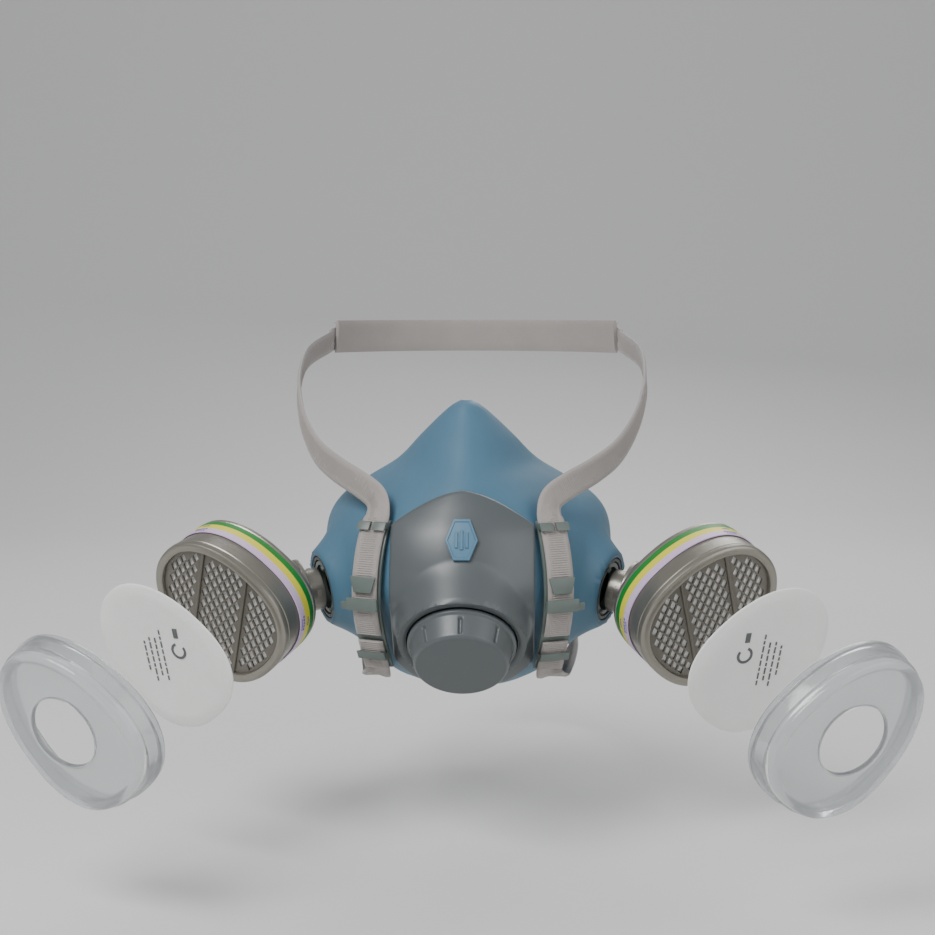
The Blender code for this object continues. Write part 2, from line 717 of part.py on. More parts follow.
def cartridge_place():
    """Centre of the cartridge's back wall as set out, local Z out of its front."""
    port = port_place()
    neck = port @ Vector((0, 0, NECK_LENGTH + CARTRIDGE_TRAVEL))
    facing = axis_matrix((0, 0, 0), direction(FACE_OUTWARD, FACE_DOWN))
    back = neck + facing @ Vector((NECK_INWARD, NECK_BELOW, 0))
    facing.translation = back
    return facing


def build_cartridge(materials):
    place = cartridge_place()
    wall = CARTRIDGE_WALL
    cup = egg_block("housing", place, 0, 0, 0.0240)
    housing = add_object("cartridge_housing_right", cup, materials["silver_shell"])
    combine(housing, egg_block("hollow", place, -wall, 0.0016, 0.030), "DIFFERENCE")
    neck = port_place() @ Matrix.Translation((0, 0, CARTRIDGE_TRAVEL))
    stalk = [(0, -SPIGOT_DEPTH), (SPIGOT_RADIUS, -SPIGOT_DEPTH), (SPIGOT_RADIUS, 0.0018),
             (0.0155, 0.0018), (0.0155, 0.0038), (NECK_RADIUS, 0.0050), (NECK_RADIUS, 0.0190),
             (0, 0.0190)]
    stalk_mesh = turned_mesh("stalk", stalk, neck, 28)
    trim = bpy.data.objects.new("trim", stalk_mesh)
    bpy.context.scene.collection.objects.link(trim)
    combine(trim, egg_block("inside", place, -wall, 0.0010, 0.060), "DIFFERENCE")
    stalk_mesh = trim.data
    bpy.data.objects.remove(trim, do_unlink=True)
    combine(housing, stalk_mesh, "UNION")
    combine(housing, turned_mesh("bore", rod(NECK_BORE, -0.010, 0.0175), neck, 24), "DIFFERENCE")
    add_object("sorbent_bed_right", egg_block("sorbent_bed", place, -wall - 0.0006,
                                               0.0080, 0.0205, 32), materials["charcoal"])
    add_object("media_felt_right", egg_block("media_felt", place, -wall - 0.0006,
                                              0.0208, 0.0236, 32), materials["white_felt"])
    add_object("label_band_right",
               egg_stack("label_band", place, ((0.0003, 0.0040), (0.0008, 0.0040),
                                                     (0.0008, 0.0150), (0.0003, 0.0150))),
               materials["label"])
    build_grille(place, materials)


def build_grille(place, materials):
    """Front lid: rim, recessed panel and diamond openings in three fields."""
    rim = ((-0.0030, 0.0243), (0.0006, 0.0243), (0.0006, 0.0272), (-0.0002, 0.0280),
           (-0.0030, 0.0280))
    lid = add_object("grille_lid_right", egg_stack("rim", place, rim),
                     materials["silver_shell"])
    combine(lid, egg_block("panel", place, -0.0020, 0.0245, 0.0260), "UNION")
    pitch, half = 0.0122, 0.0047
    holes = []
    for row in range(-3, 4):
        for column in range(-3, 4):
            u, v = column * pitch + (row % 2) * pitch / 2, row * pitch * 0.82
            if (u / GRILLE_LONG) ** 2 + (v / GRILLE_SHORT) ** 2 > 1:
                continue
            x = u * math.cos(EGG_ANGLE) - v * math.sin(EGG_ANGLE)
            y = u * math.sin(EGG_ANGLE) + v * math.cos(EGG_ANGLE)
            ring = [(x + half, y), (x, y + half * 1.05), (x - half, y), (x, y - half * 1.05)]
            holes.append(loft_mesh("hole", [[(a, b, h) for a, b in ring] for h in (0.022, 0.030)],
                                   place))
    combine(lid, joined(holes), "DIFFERENCE")


def build_pad(materials):
    place = cartridge_place() @ Matrix.Translation((0, 0, PAD_TRAVEL))
    low = CARTRIDGE_DEPTH + GAP
    add_object("filter_pad_right", egg_block("filter_pad", place, 0.0, low,
                                              low + PAD_THICK, 36), materials["white_felt"])


def build_cover(materials):
    """Clear retainer: a stepped skirt round a face with a round hole."""
    place = cartridge_place() @ Matrix.Translation((0, 0, PAD_TRAVEL + COVER_TRAVEL))
    inside = CARTRIDGE_DEPTH + 2 * GAP + PAD_THICK
    outside = inside + COVER_WALL
    foot = inside - COVER_SKIRT
    layers = ((COVER_INSIDE, foot), (0.0029, foot), (0.0029, foot + 0.0028),
              (0.0024, foot + 0.0030), (0.0024, outside - 0.0026), (0.0, outside))
    lining = ((0.0, inside), (COVER_INSIDE, inside - 0.0012))
    rings = [[(x, y, height) for x, y in egg(grow, 36)] for grow, height in layers]
    for height in (outside, inside):
        rings.append([(x * COVER_HOLE / math.hypot(x, y), y * COVER_HOLE / math.hypot(x, y),
                       height) for x, y in egg(0, 36)])
    rings += [[(x, y, height) for x, y in egg(grow, 36)] for grow, height in lining]
    add_object("pad_cover_right", loft_mesh("pad_cover", rings, place, capped=False),
               materials["clear_cover"])


# ---------------------------------------------------------------- joints' axes

def adjuster_place():
    """Top edge of the strap adjuster's bar, which it tilts about."""
    lift = frame_lift(0) + FRAME_WALL + STRAP_SLOT + ADJUSTER_THICK - 0.0004
    turn = math.radians(FRAME_TURN)
    spread = Vector((-math.cos(turn), -math.sin(turn), 0))
    return axis_matrix(frame_point(0, lift, ADJUSTER_TOP), spread)


def set_origin(name, place):
    """Moves an object's origin to a placement and leaves its shape where it is."""
    thing = bpy.data.objects[name]
    thing.data.transform(place.inverted())
    thing.matrix_world = place


def set_origins():
    """Puts the origin of every moving piece on its joint's axis."""
    for name in ("exhalation_flap", "valve_cover_seal", "valve_cover"):
        set_origin(name, valve_place())
    set_origin("clasp_hook", Matrix.Translation(CLASP_PIN))
    cartridge = cartridge_place()
    pad = cartridge @ Matrix.Translation((0, 0, PAD_TRAVEL))
    cover = pad @ Matrix.Translation((0, 0, COVER_TRAVEL))
    places = {"inhalation_flap": port_place(), "lock_ring": port_place(), "filter_pad": pad,
              "pad_cover": cover, "strap_adjuster": adjuster_place()}
    neck = port_place() @ Matrix.Translation((0, 0, CARTRIDGE_TRAVEL))
    for name in ("cartridge_housing", "grille_lid", "media_felt", "sorbent_bed", "label_band"):
        places[name] = neck
    flip = Matrix.Diagonal((-1, 1, 1, 1))
    for name, place in places.items():
        set_origin(name + "_right", place)
        set_origin(name + "_left", flip @ place @ flip)


def main():
    clear_scene()
    materials = {name: make_material(name) for name in COLOURS}
    build_facepiece(materials["blue_silicone"])
    build_shroud(materials["grey_shell"])
    build_badge(materials["blue_silicone"])
    build_valve(materials)
    build_port(materials)
    build_frame(materials)
    build_keeper(materials)
    build_adjuster(materials)
    build_cartridge(materials)
    build_pad(materials)
    build_cover(materials)
    build_harness(materials)
    build_clasp(materials)
    for thing in list(bpy.data.objects):
        if thing.name.endswith("_right"):
            mirror_to_left(thing.name.removesuffix("_right"))
    set_origins()


main()
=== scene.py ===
import json
import math

import bmesh
import bpy
from mathutils import Matrix, Vector, noise


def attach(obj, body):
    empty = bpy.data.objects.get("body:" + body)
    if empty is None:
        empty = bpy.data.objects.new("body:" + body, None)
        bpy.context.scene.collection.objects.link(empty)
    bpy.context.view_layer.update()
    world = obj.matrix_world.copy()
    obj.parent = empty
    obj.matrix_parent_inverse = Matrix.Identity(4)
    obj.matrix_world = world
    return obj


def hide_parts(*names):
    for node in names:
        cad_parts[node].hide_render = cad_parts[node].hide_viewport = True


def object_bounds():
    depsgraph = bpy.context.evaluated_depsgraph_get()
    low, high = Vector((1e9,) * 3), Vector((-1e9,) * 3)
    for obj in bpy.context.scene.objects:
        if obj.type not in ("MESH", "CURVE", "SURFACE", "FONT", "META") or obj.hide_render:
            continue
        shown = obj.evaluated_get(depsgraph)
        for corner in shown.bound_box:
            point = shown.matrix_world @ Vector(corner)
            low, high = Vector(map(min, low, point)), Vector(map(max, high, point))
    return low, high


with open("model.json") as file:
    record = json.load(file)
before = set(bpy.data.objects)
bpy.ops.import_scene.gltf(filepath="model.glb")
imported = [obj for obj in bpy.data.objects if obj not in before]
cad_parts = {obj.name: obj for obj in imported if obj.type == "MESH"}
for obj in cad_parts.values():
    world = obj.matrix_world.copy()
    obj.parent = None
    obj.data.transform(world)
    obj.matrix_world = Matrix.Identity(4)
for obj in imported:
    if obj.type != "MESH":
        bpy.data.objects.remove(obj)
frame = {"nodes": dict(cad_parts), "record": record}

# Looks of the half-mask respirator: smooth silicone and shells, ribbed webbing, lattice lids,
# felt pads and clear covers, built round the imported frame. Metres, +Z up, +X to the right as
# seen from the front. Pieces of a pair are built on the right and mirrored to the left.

CAD_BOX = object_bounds()
JOINTS = {joint["name"]: joint for joint in frame["record"]["behaviour"]["joints"]}
MIRROR = Matrix.Diagonal((-1, 1, 1, 1))

# Facepiece: sections as (height, half width, seal edge y, front y, roundness)
SECTIONS = (
    (0.0845, 0.0025, -0.0205, -0.0240, 1.8),
    (0.0823, 0.0064, -0.0192, -0.0275, 1.8),
    (0.0775, 0.0120, -0.0160, -0.0320, 1.7),
    (0.0680, 0.0215, -0.0100, -0.0415, 1.6),
    (0.056, 0.033, -0.002, -0.053, 1.55),
    (0.047, 0.047, 0.004, -0.062, 1.6),
    (0.038, 0.060, 0.008, -0.069, 1.75),
    (0.028, 0.067, 0.010, -0.0755, 1.85),
    (0.014, 0.069, 0.010, -0.0805, 1.9),
    (0.002, 0.068, 0.009, -0.0825, 1.9),
    (-0.008, 0.066, 0.008, -0.0765, 1.95),
    (-0.020, 0.060, 0.006, -0.068, 2.0),
    (-0.032, 0.049, 0.004, -0.058, 2.1),
    (-0.042, 0.038, 0.002, -0.043, 2.2),
    (-0.049, 0.028, 0.000, -0.020, 2.2),
    (-0.0525, 0.0215, 0.000, -0.0085, 2.0),
    (-0.0545, 0.0135, 0.000, -0.0040, 2.0),
    (-0.0553, 0.0040, 0.000, -0.0015, 2.0),
)
SILICONE_WALL = 0.0022
PORT_HOLE = 0.0149
VALVE_HOLE = 0.018

# Front shroud and collar
SHROUD_HALF_WIDTH = 0.0308
SHROUD_LIFT = 0.0029
SHROUD_WALL = 0.0022
SHROUD_TOP = 0.0465
SHROUD_SHOULDER = 0.031
SHROUD_WAIST = -0.026
SHROUD_BOTTOM = -0.041
SHROUD_BOTTOM_HALF_WIDTH = 0.016
COLLAR_INNER = 0.0242
COLLAR_OUTER = 0.0283
COLLAR_TOP = 0.007
COLLAR_REACH = 0.045
COLLAR_SLOPE = 6.0
BADGE_HEIGHT = 0.0262

# Spokes under the flaps; the second pair lies a little lower, so that they don't share faces
SPOKE_TURNS = (38, 128)
SPOKE_DROP = 0.0001

# Strap frames and straps
FRAME_CENTRE = Vector((0.0393, -0.0621, 0.0))
FRAME_TURN = math.radians(22)
FRAME_WALL = 0.0016
FRAME_RUN = ((0.042, -0.0108), (0.0345, -0.0052), (0.028, -0.0008), (0.020, 0.0030),
             (0.010, 0.0056), (0.0, 0.0062), (-0.010, 0.0042), (-0.022, -0.0006),
             (-0.0335, -0.0064), (-0.042, -0.0110))
STRAP_WIDTH = 0.0120
STRAP_THICK = 0.0014
STRAP_SLOT = 0.0028
UPPER_KNOTS = (
    ((0.0395, -0.0520, 0.0430), (0.42, -0.86, 0.10)),
    ((0.0475, -0.0440, 0.0480), (0.60, -0.76, 0.15)),
    ((0.0590, -0.0300, 0.0530), (0.76, -0.62, 0.15)),
    ((0.0700, -0.0140, 0.0595), (0.90, -0.42, 0.10)),
    ((0.0790, 0.0080, 0.0690), (0.96, -0.26, 0.05)),
    ((0.0850, 0.0320, 0.0790), (0.98, -0.14, 0.05)),
    ((0.0885, 0.0560, 0.0900), (0.99, -0.04, 0.08)),
    ((0.0880, 0.0850, 0.1010), (0.99, 0.10, 0.10)),
    ((0.0805, 0.1180, 0.1080), (0.90, 0.40, 0.12)),
    ((0.0793, 0.1234, 0.1098), (0.86, 0.50, 0.08)),
    ((0.0741, 0.1319, 0.1108), (0.81, 0.58, 0.08)),
    ((0.0670, 0.1409, 0.1110), (0.72, 0.69, 0.08)),
)
LOWER_KNOTS = (
    ((0.0381, -0.0591, -0.0332), (0.35, -0.84, -0.42)),
    ((0.0384, -0.0570, -0.0353), (0.25, -0.55, -0.80)),
    ((0.0396, -0.0535, -0.0363), (0.05, -0.15, -0.99)),
    ((0.0408, -0.0430, -0.0388), (0.00, -0.15, -0.99)),
    ((0.0420, -0.0310, -0.0420), (0.00, -0.15, -0.99)),
    ((0.0438, -0.0120, -0.0448), (0.05, -0.05, -1.00)),
    ((0.0470, 0.0100, -0.0455), (0.35, 0.00, -0.94)),
    ((0.0505, 0.0350, -0.0450), (0.75, 0.05, -0.65)),
    ((0.0520, 0.0620, -0.0430), (0.98, 0.20, -0.10)),
    ((0.0440, 0.0930, -0.0410), (0.70, 0.70, 0.0)),
    ((0.0300, 0.1090, -0.0400), (0.30, 0.95, 0.0)),
    ((0.0190, 0.1145, -0.0400), (0.15, 0.99, 0.0)),
)

# Cartridges
EGG_LONG = 0.0350
EGG_SHORT = 0.0289
EGG_TAPER = 0.14
EGG_ROUNDNESS = 2.25
EGG_ANGLE = math.radians(50)
EGG_STEPS = 120
CARTRIDGE_DEPTH = 0.028
CARTRIDGE_WALL = 0.0014
COVER_INSIDE = 0.0011
COVER_SKIRT = 0.012
COVER_WALL = 0.0013
COVER_HOLE = 0.0150
PAD_THICK = 0.002
GAP = 0.0003

FLOOR_DROP = 0.045


# ---- materials

def node(tree, kind, **settings):
    made = tree.nodes.new(kind)
    for key, value in settings.items():
        if key in made.inputs:
            made.inputs[key].default_value = value
        else:
            setattr(made, key, value)
    return made


def material(name, colour, roughness, metallic=0.0, mottle=0.06, grain=0.00018, bump=0.12,
             spread=0.06, **sockets):
    """Principled material: mottled colour, varied roughness and a fine bump.

    grain is the bump's size in metres.
    """
    made = bpy.data.materials.new(name)
    made.use_nodes = True
    tree = made.node_tree
    shader = tree.nodes["Principled BSDF"]
    shader.inputs["Metallic"].default_value = metallic
    for key, value in sockets.items():
        shader.inputs[key].default_value = value
    place = node(tree, "ShaderNodeTexCoord")

    def noise_field(scale, detail, rough):
        made = node(tree, "ShaderNodeTexNoise", Scale=scale, Detail=detail, Roughness=rough)
        tree.links.new(place.outputs["Object"], made.inputs["Vector"])
        return made.outputs["Fac"]

    tint = node(tree, "ShaderNodeMix", data_type="RGBA")
    for socket in tint.inputs:
        if socket.type == "RGBA":
            change = -mottle if socket.name == "A" else mottle
            socket.default_value = (*(min(max(c * (1 + change), 0), 1) for c in colour), 1)
    tree.links.new(noise_field(55.0, 4.0, 0.6), tint.inputs["Factor"])
    colour_out = [s for s in tint.outputs if s.type == "RGBA"][0]
    tree.links.new(colour_out, shader.inputs["Base Color"])
    gloss = node(tree, "ShaderNodeMapRange")
    gloss.inputs["To Min"].default_value = max(roughness - spread, 0.02)
    gloss.inputs["To Max"].default_value = min(roughness + spread, 1.0)
    tree.links.new(noise_field(140.0, 3.0, 0.55), gloss.inputs["Value"])
    tree.links.new(gloss.outputs["Result"], shader.inputs["Roughness"])
    shaped = node(tree, "ShaderNodeBump", Strength=bump, Distance=0.0004)
    tree.links.new(noise_field(1.0 / grain, 2.0, 0.5), shaped.inputs["Height"])
    tree.links.new(shaped.outputs["Normal"], shader.inputs["Normal"])
    return made


MATERIALS = {
    "silicone": material("blue_silicone", (0.069, 0.162, 0.244), 0.50, mottle=0.05,
                         grain=0.00035, bump=0.10, **{"Subsurface Weight": 0.06,
                                                      "Subsurface Scale": 0.004}),
    "badge": material("badge_blue", (0.085, 0.190, 0.285), 0.36, mottle=0.04, bump=0.06),
    "shell": material("grey_shell", (0.085, 0.097, 0.102), 0.34, mottle=0.05, grain=0.00025,
                      bump=0.10, spread=0.05),
    "frame": material("frame_grey", (0.112, 0.140, 0.127), 0.40, mottle=0.06, bump=0.12),
    "dark": material("dark_grey", (0.026, 0.030, 0.034), 0.45, mottle=0.15, bump=0.15),
    "rubber": material("seal_rubber", (0.012, 0.012, 0.014), 0.55, mottle=0.15, bump=0.12),
    "flap": material("flap_silicone", (0.52, 0.46, 0.34), 0.35, mottle=0.05, bump=0.05,
                     **{"Transmission Weight": 0.25}),
    "webbing": material("webbing", (0.335, 0.305, 0.292), 0.88, mottle=0.10, grain=0.00045,
                        bump=0.55, spread=0.05, **{"Sheen Weight": 0.35,
                                                   "Sheen Roughness": 0.5}),
    "stitch": material("stitching", (0.42, 0.39, 0.37), 0.80, mottle=0.12, bump=0.3),
    "silver": material("silver_shell", (0.285, 0.268, 0.232), 0.31, metallic=0.75, mottle=0.05,
                       grain=0.00022, bump=0.10, spread=0.07),
    "lattice": material("lattice_metal", (0.165, 0.153, 0.132), 0.40, metallic=0.6, mottle=0.06,
                        grain=0.00022, bump=0.10, spread=0.06),
    "lilac": material("label_lilac", (0.610, 0.470, 0.670), 0.42, mottle=0.03, bump=0.04),
    "yellow": material("label_yellow", (0.690, 0.625, 0.045), 0.42, mottle=0.03, bump=0.04),
    "green": material("label_green", (0.008, 0.200, 0.024), 0.42, mottle=0.05, bump=0.04),
    "ink": material("label_ink", (0.150, 0.130, 0.420), 0.45, mottle=0.05, bump=0.03),
    "felt": material("white_felt", (0.860, 0.855, 0.835), 0.95, mottle=0.035, grain=0.00040,
                     bump=0.60, spread=0.04, **{"Sheen Weight": 0.3}),
    "print": material("grey_print", (0.120, 0.125, 0.125), 0.85, mottle=0.25, grain=0.0004,
                      bump=0.35),
    "charcoal": material("charcoal", (0.010, 0.010, 0.011), 0.85, mottle=0.4, grain=0.0010,
                         bump=0.90),
    "clear": material("clear_cover", (0.74, 0.76, 0.78), 0.12, mottle=0.01, bump=0.02,
                      spread=0.03, **{"Transmission Weight": 0.84, "IOR": 1.46}),
}


# ---- placement and shapes

def axis_matrix(origin, axis, up=Vector((0, 0, 1))):
    """Placement whose local Z lies along axis and whose local Y leans toward up."""
    z = Vector(axis).normalized()
    x = Vector(up).cross(z).normalized()
    turn = Matrix((x, z.cross(x), z)).transposed().to_4x4()
    return Matrix.Translation(Vector(origin)) @ turn


def joint_place(name, flip=1):
    joint = JOINTS[name]
    return axis_matrix(joint["pos_m"], [flip * c for c in joint["axis"]])


PORT = joint_place("cartridge_right_twist", flip=-1)
VALVE = joint_place("valve_cover_twist")
FACING = axis_matrix((0, 0, 0), [-c for c in JOINTS["filter_pad_right_fit"]["axis"]])


def egg_middle(piece):
    """Middle of an egg-shaped node's back, found in the cartridge's turned frame."""
    turned = (FACING @ Matrix.Rotation(EGG_ANGLE, 4, "Z")).inverted()
    points = [turned @ v.co for v in frame["nodes"][piece].data.vertices]
    low = [min(p[i] for p in points) for i in range(3)]
    high = [max(p[i] for p in points) for i in range(2)]
    return turned.inverted() @ Vector(((low[0] + high[0]) / 2, (low[1] + high[1]) / 2, low[2]))


def egg_place(piece, height):
    """Placement of the cartridge's frame whose origin is height below the piece's back."""
    place = FACING.copy()
    place.translation = egg_middle(piece) - FACING.to_3x3() @ Vector((0, 0, height))
    return place


CARTRIDGE = egg_place("label_band_right", 0.0040)
PAD = egg_place("filter_pad_right", CARTRIDGE_DEPTH + GAP)
COVER = egg_place("pad_cover_right", CARTRIDGE_DEPTH + 2 * GAP + PAD_THICK - COVER_SKIRT)


def shaded(mesh, angle):
    mesh.shade_smooth()
    mesh.set_sharp_from_angle(angle=math.radians(angle))


def dressed(thing, *materials, smooth=True, angle=35):
    """Gives an object its materials and its smooth shading, sharp past an angle."""
    mesh = thing.data
    if mesh.materials:
        mesh.materials.clear()
    for made in materials:
        mesh.materials.append(MATERIALS[made])
    if smooth:
        shaded(mesh, angle)
    return thing


def linked(name, data):
    thing = bpy.data.objects.new(name, data)
    bpy.context.scene.collection.objects.link(thing)
    return thing


def new_object(name, mesh, *materials, **shading):
    return dressed(linked(name, mesh), *materials, **shading)


def mesh_of(name, points, faces, place=None, kinds=None):
    """Mesh from points and faces with outward normals; kinds gives each face's material."""
    mesh = bpy.data.meshes.new(name)
    bm = bmesh.new()
    corners = [bm.verts.new(place @ Vector(p) if place else Vector(p)) for p in points]
    for i, face in enumerate(faces):
        made = bm.faces.new([corners[k] for k in face])
        if kinds:
            made.material_index = kinds[i]
    bmesh.ops.remove_doubles(bm, verts=bm.verts, dist=1e-6)
    bmesh.ops.recalc_face_normals(bm, faces=bm.faces)
    bm.to_mesh(mesh)
    bm.free()
    return mesh


def loft_mesh(name, rings, place=None, capped=True, kinds=None):
    """Rings of equal point counts joined in order; capped, or closed on itself if not.

    kinds gives the material of each band between rings.
    """
    count = len(rings[0])
    points = [p for ring in rings for p in ring]
    faces, marks = [], []
    bands = len(rings) - 1 if capped else len(rings)
    for r in range(bands):
        here, there = r * count, (r + 1) % len(rings) * count
        for i in range(count):
            j = (i + 1) % count
            faces.append((here + i, here + j, there + j, there + i))
            marks.append(kinds[r] if kinds else 0)
    if capped:
        faces.append(tuple(range(count)))
        faces.append(tuple((len(rings) - 1) * count + i for i in range(count)))
        marks += [0, 0]
    return mesh_of(name, points, faces, place, marks)


def turned_mesh(name, profile, place, steps=96, shape=None):
    """Closed (radius, height) profile turned about local Z; shape may change a point."""
    points, faces = [], []
    count = len(profile)
    for step in range(steps):
        angle = math.tau * step / steps
        for radius, height in profile:
            if shape:
                radius, height = shape(angle, radius, height)
            points.append((radius * math.cos(angle), radius * math.sin(angle), height))
    for step in range(steps):
        here, there = step * count, (step + 1) % steps * count
        for i in range(count):
            j = (i + 1) % count
            on_axis = (profile[i][0] < 1e-9, profile[j][0] < 1e-9)
            if all(on_axis):
                continue
            quad = [here + i, there + i, there + j, here + j]
            if on_axis[0]:
                quad.remove(there + i)
            if on_axis[1]:
                quad.remove(there + j)
            faces.append(quad)
    return mesh_of(name, points, faces, place)


def box_mesh(name, low, high, place=None):
    ring = [(low[0], low[1]), (high[0], low[1]), (high[0], high[1]), (low[0], high[1])]
    return loft_mesh(name, [[(x, y, z) for x, y in ring] for z in (low[2], high[2])], place)


def rounded(profile, radius, steps=4):
    """Closed profile with each corner cut to a small arc."""
    out = []
    count = len(profile)
    for i, corner in enumerate(profile):
        before, after = Vector(profile[i - 1]), Vector(profile[(i + 1) % count])
        here = Vector(corner)
        if here.x < 1e-9:
            out.append((0.0, here.y))
            continue
        reach_in = min(radius, (before - here).length * 0.45)
        reach_out = min(radius, (after - here).length * 0.45)
        start = here + (before - here).normalized() * reach_in
        end = here + (after - here).normalized() * reach_out
        for k in range(steps + 1):
            t = k / steps
            point = start * (1 - t) ** 2 + here * 2 * t * (1 - t) + end * t * t
            out.append((point.x, point.y))
    return out


def joined(meshes):
    bm = bmesh.new()
    for mesh in meshes:
        bm.from_mesh(mesh)
    result = bpy.data.meshes.new("joined")
    bm.to_mesh(result)
    bm.free()
    return result


def cut(target, tool_mesh):
    tool = linked("tool", tool_mesh)
    step = target.modifiers.new("cut", "BOOLEAN")
    step.object = tool
    step.operation = "DIFFERENCE"
    apply_modifiers(target)
    bpy.data.objects.remove(tool, do_unlink=True)


def apply_modifiers(target):
    graph = bpy.context.evaluated_depsgraph_get()
    graph.update()
    result = bpy.data.meshes.new_from_object(target.evaluated_get(graph))
    target.modifiers.clear()
    target.data = result


def bevelled(target, width):
    step = target.modifiers.new("bevel", "BEVEL")
    step.width = width
    step.segments = 2
    step.limit_method = "ANGLE"
    step.angle_limit = math.radians(30)
    apply_modifiers(target)
    shaded(target.data, 40)
    return target


def thicken(sheet, wall):
    """Gives an open sheet a wall behind its front face."""
    step = sheet.modifiers.new("wall", "SOLIDIFY")
    step.thickness = wall
    step.offset = -1
    apply_modifiers(sheet)


def smooth_rows(rows, at):
    """Values between rows by a Catmull-Rom curve; the rows' first column is the position."""
    rows = sorted(rows)
    keys = [row[0] for row in rows]
    at = min(max(at, keys[0]), keys[-1])
    i = max(k for k in range(len(keys) - 1) if keys[k] <= at)
    before, after = rows[max(i - 1, 0)], rows[min(i + 2, len(rows) - 1)]
    low, high = rows[i], rows[i + 1]
    span = high[0] - low[0]
    t = (at - low[0]) / span
    out = []
    for c in range(1, len(low)):
        slope_low = (high[c] - before[c]) / (high[0] - before[0]) * span
        slope_high = (after[c] - low[c]) / (after[0] - low[0]) * span
        out.append((2 * t**3 - 3 * t**2 + 1) * low[c] + (t**3 - 2 * t**2 + t) * slope_low
                   + (3 * t**2 - 2 * t**3) * high[c] + (t**3 - t**2) * slope_high)
    return out


def rod(radius, low, high):
    return [(0, low), (radius, low), (radius, high), (0, high)]


def face_forward(mesh):
    """Turns an open sheet's faces so that its foremost face looks toward -Y."""
    bm = bmesh.new()
    bm.from_mesh(mesh)
    foremost = min(bm.faces, key=lambda face: face.calc_center_median().y)
    if foremost.normal.y > 0:
        bmesh.ops.reverse_faces(bm, faces=bm.faces)
    bm.to_mesh(mesh)
    bm.free()


def smooth_max(a, b, blend):
    over = max(blend - abs(a - b), 0) / blend
    return max(a, b) + over * over * blend / 4


def boxes_round(place, turns, low, high, drop=0.0):
    """Boxes turned about local Z by each of turns in degrees, each drop below the last."""
    boxes = []
    for i, turn in enumerate(turns):
        spin = place @ Matrix.Rotation(math.radians(turn), 4, "Z")
        boxes.append(box_mesh("box", (*low[:2], low[2] - drop * i), (*high[:2], high[2] - drop * i),
                              spin))
    return boxes


def sheet_faces(across, rows):
    """Faces of a grid of rows + 1 by across + 1 points."""
    stride = across + 1
    return [(r * stride + c, r * stride + c + 1, (r + 1) * stride + c + 1, (r + 1) * stride + c)
            for r in range(rows) for c in range(across)]


def mirrored(right, name):
    """Copy of a right-hand piece, mirrored to the left."""
    mesh = right.data.copy()
    mesh.transform(MIRROR)
    mesh.flip_normals()
    return linked(name, mesh)


def finish_piece(piece, body, slot, *nodes):
    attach(piece, body)
    if nodes:
        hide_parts(*nodes)


def finish_pair(right, body, slot, *nodes):
    """Rides and replaces a right-hand piece and its mirrored copy.

    body and nodes are base names: SIDE is filled in as right or left.
    """
    base = right.name.removesuffix("_right")
    left = mirrored(right, base + "_left")
    for side, piece in (("right", right), ("left", left)):
        names = [name.replace("SIDE", side) for name in nodes]
        finish_piece(piece, body.replace("SIDE", side), slot, *names)
    return right, left


# ---- facepiece

def bulge(across, roundness):
    """Share of a section's depth at across, -1 to 1, with its middle ridge eased."""
    away, ease = abs(across), 0.14
    if away < ease:
        away = away * away / (2 * ease) + ease / 2
    return max(0.0, 1 - away ** roundness) ** (1 / roundness)


def skin(x, height):
    """Point of the facepiece's front straight ahead of x and height."""
    half, seal, front, roundness = smooth_rows(SECTIONS, height)
    return Vector((x, seal + (front - seal) * bulge(x / half, roundness), height))


def section_point(turn, height):
    half, _, _, roundness = smooth_rows(SECTIONS, height)
    c = math.cos(turn)
    return skin(half * math.copysign(abs(c) ** (2 / roundness), c), height)


def skin_point(x, height, lift=0.0):
    """Point of the facepiece's front at x and height, lifted off it along its normal."""
    step = 0.0008
    across = skin(x + step, height) - skin(x - step, height)
    up = skin(x, height + step) - skin(x, height - step)
    return skin(x, height) + across.cross(up).normalized() * lift


def swell(point):
    """Raises the skin into a smooth boss with a rolled lip round each port."""
    for side in (1, -1):
        place = PORT if side == 1 else MIRROR @ PORT @ MIRROR
        local = place.inverted() @ point
        radius = math.hypot(local.x, local.y)
        if radius > 0.036 or local.z < -0.040:
            continue
        crest, shoulder, slope = 0.0014, 0.0172, 1.35
        height = crest - max(radius - shoulder, 0) * slope
        height -= min(max(0.0, PORT_HOLE + 0.0010 - radius), 0.0015) * 0.5
        local.z = smooth_max(local.z, height, 0.005)
        point = place @ local
    return point


def lip_rings(edge, centre):
    """Rings that turn the seal edge in toward the face, thinning as they go."""
    rings = []
    for inward, back in ((0.0012, 0.0012), (0.0032, 0.0020), (0.0060, 0.0018),
                         (0.0090, 0.0002), (0.0115, -0.0025), (0.0130, -0.0058)):
        ring = []
        for point in edge:
            aim = centre - point
            aim.y = 0
            reach = min(inward, aim.length * 0.6)
            ring.append(point + aim.normalized() * reach + Vector((0, back, 0)))
        rings.append(ring)
    return rings


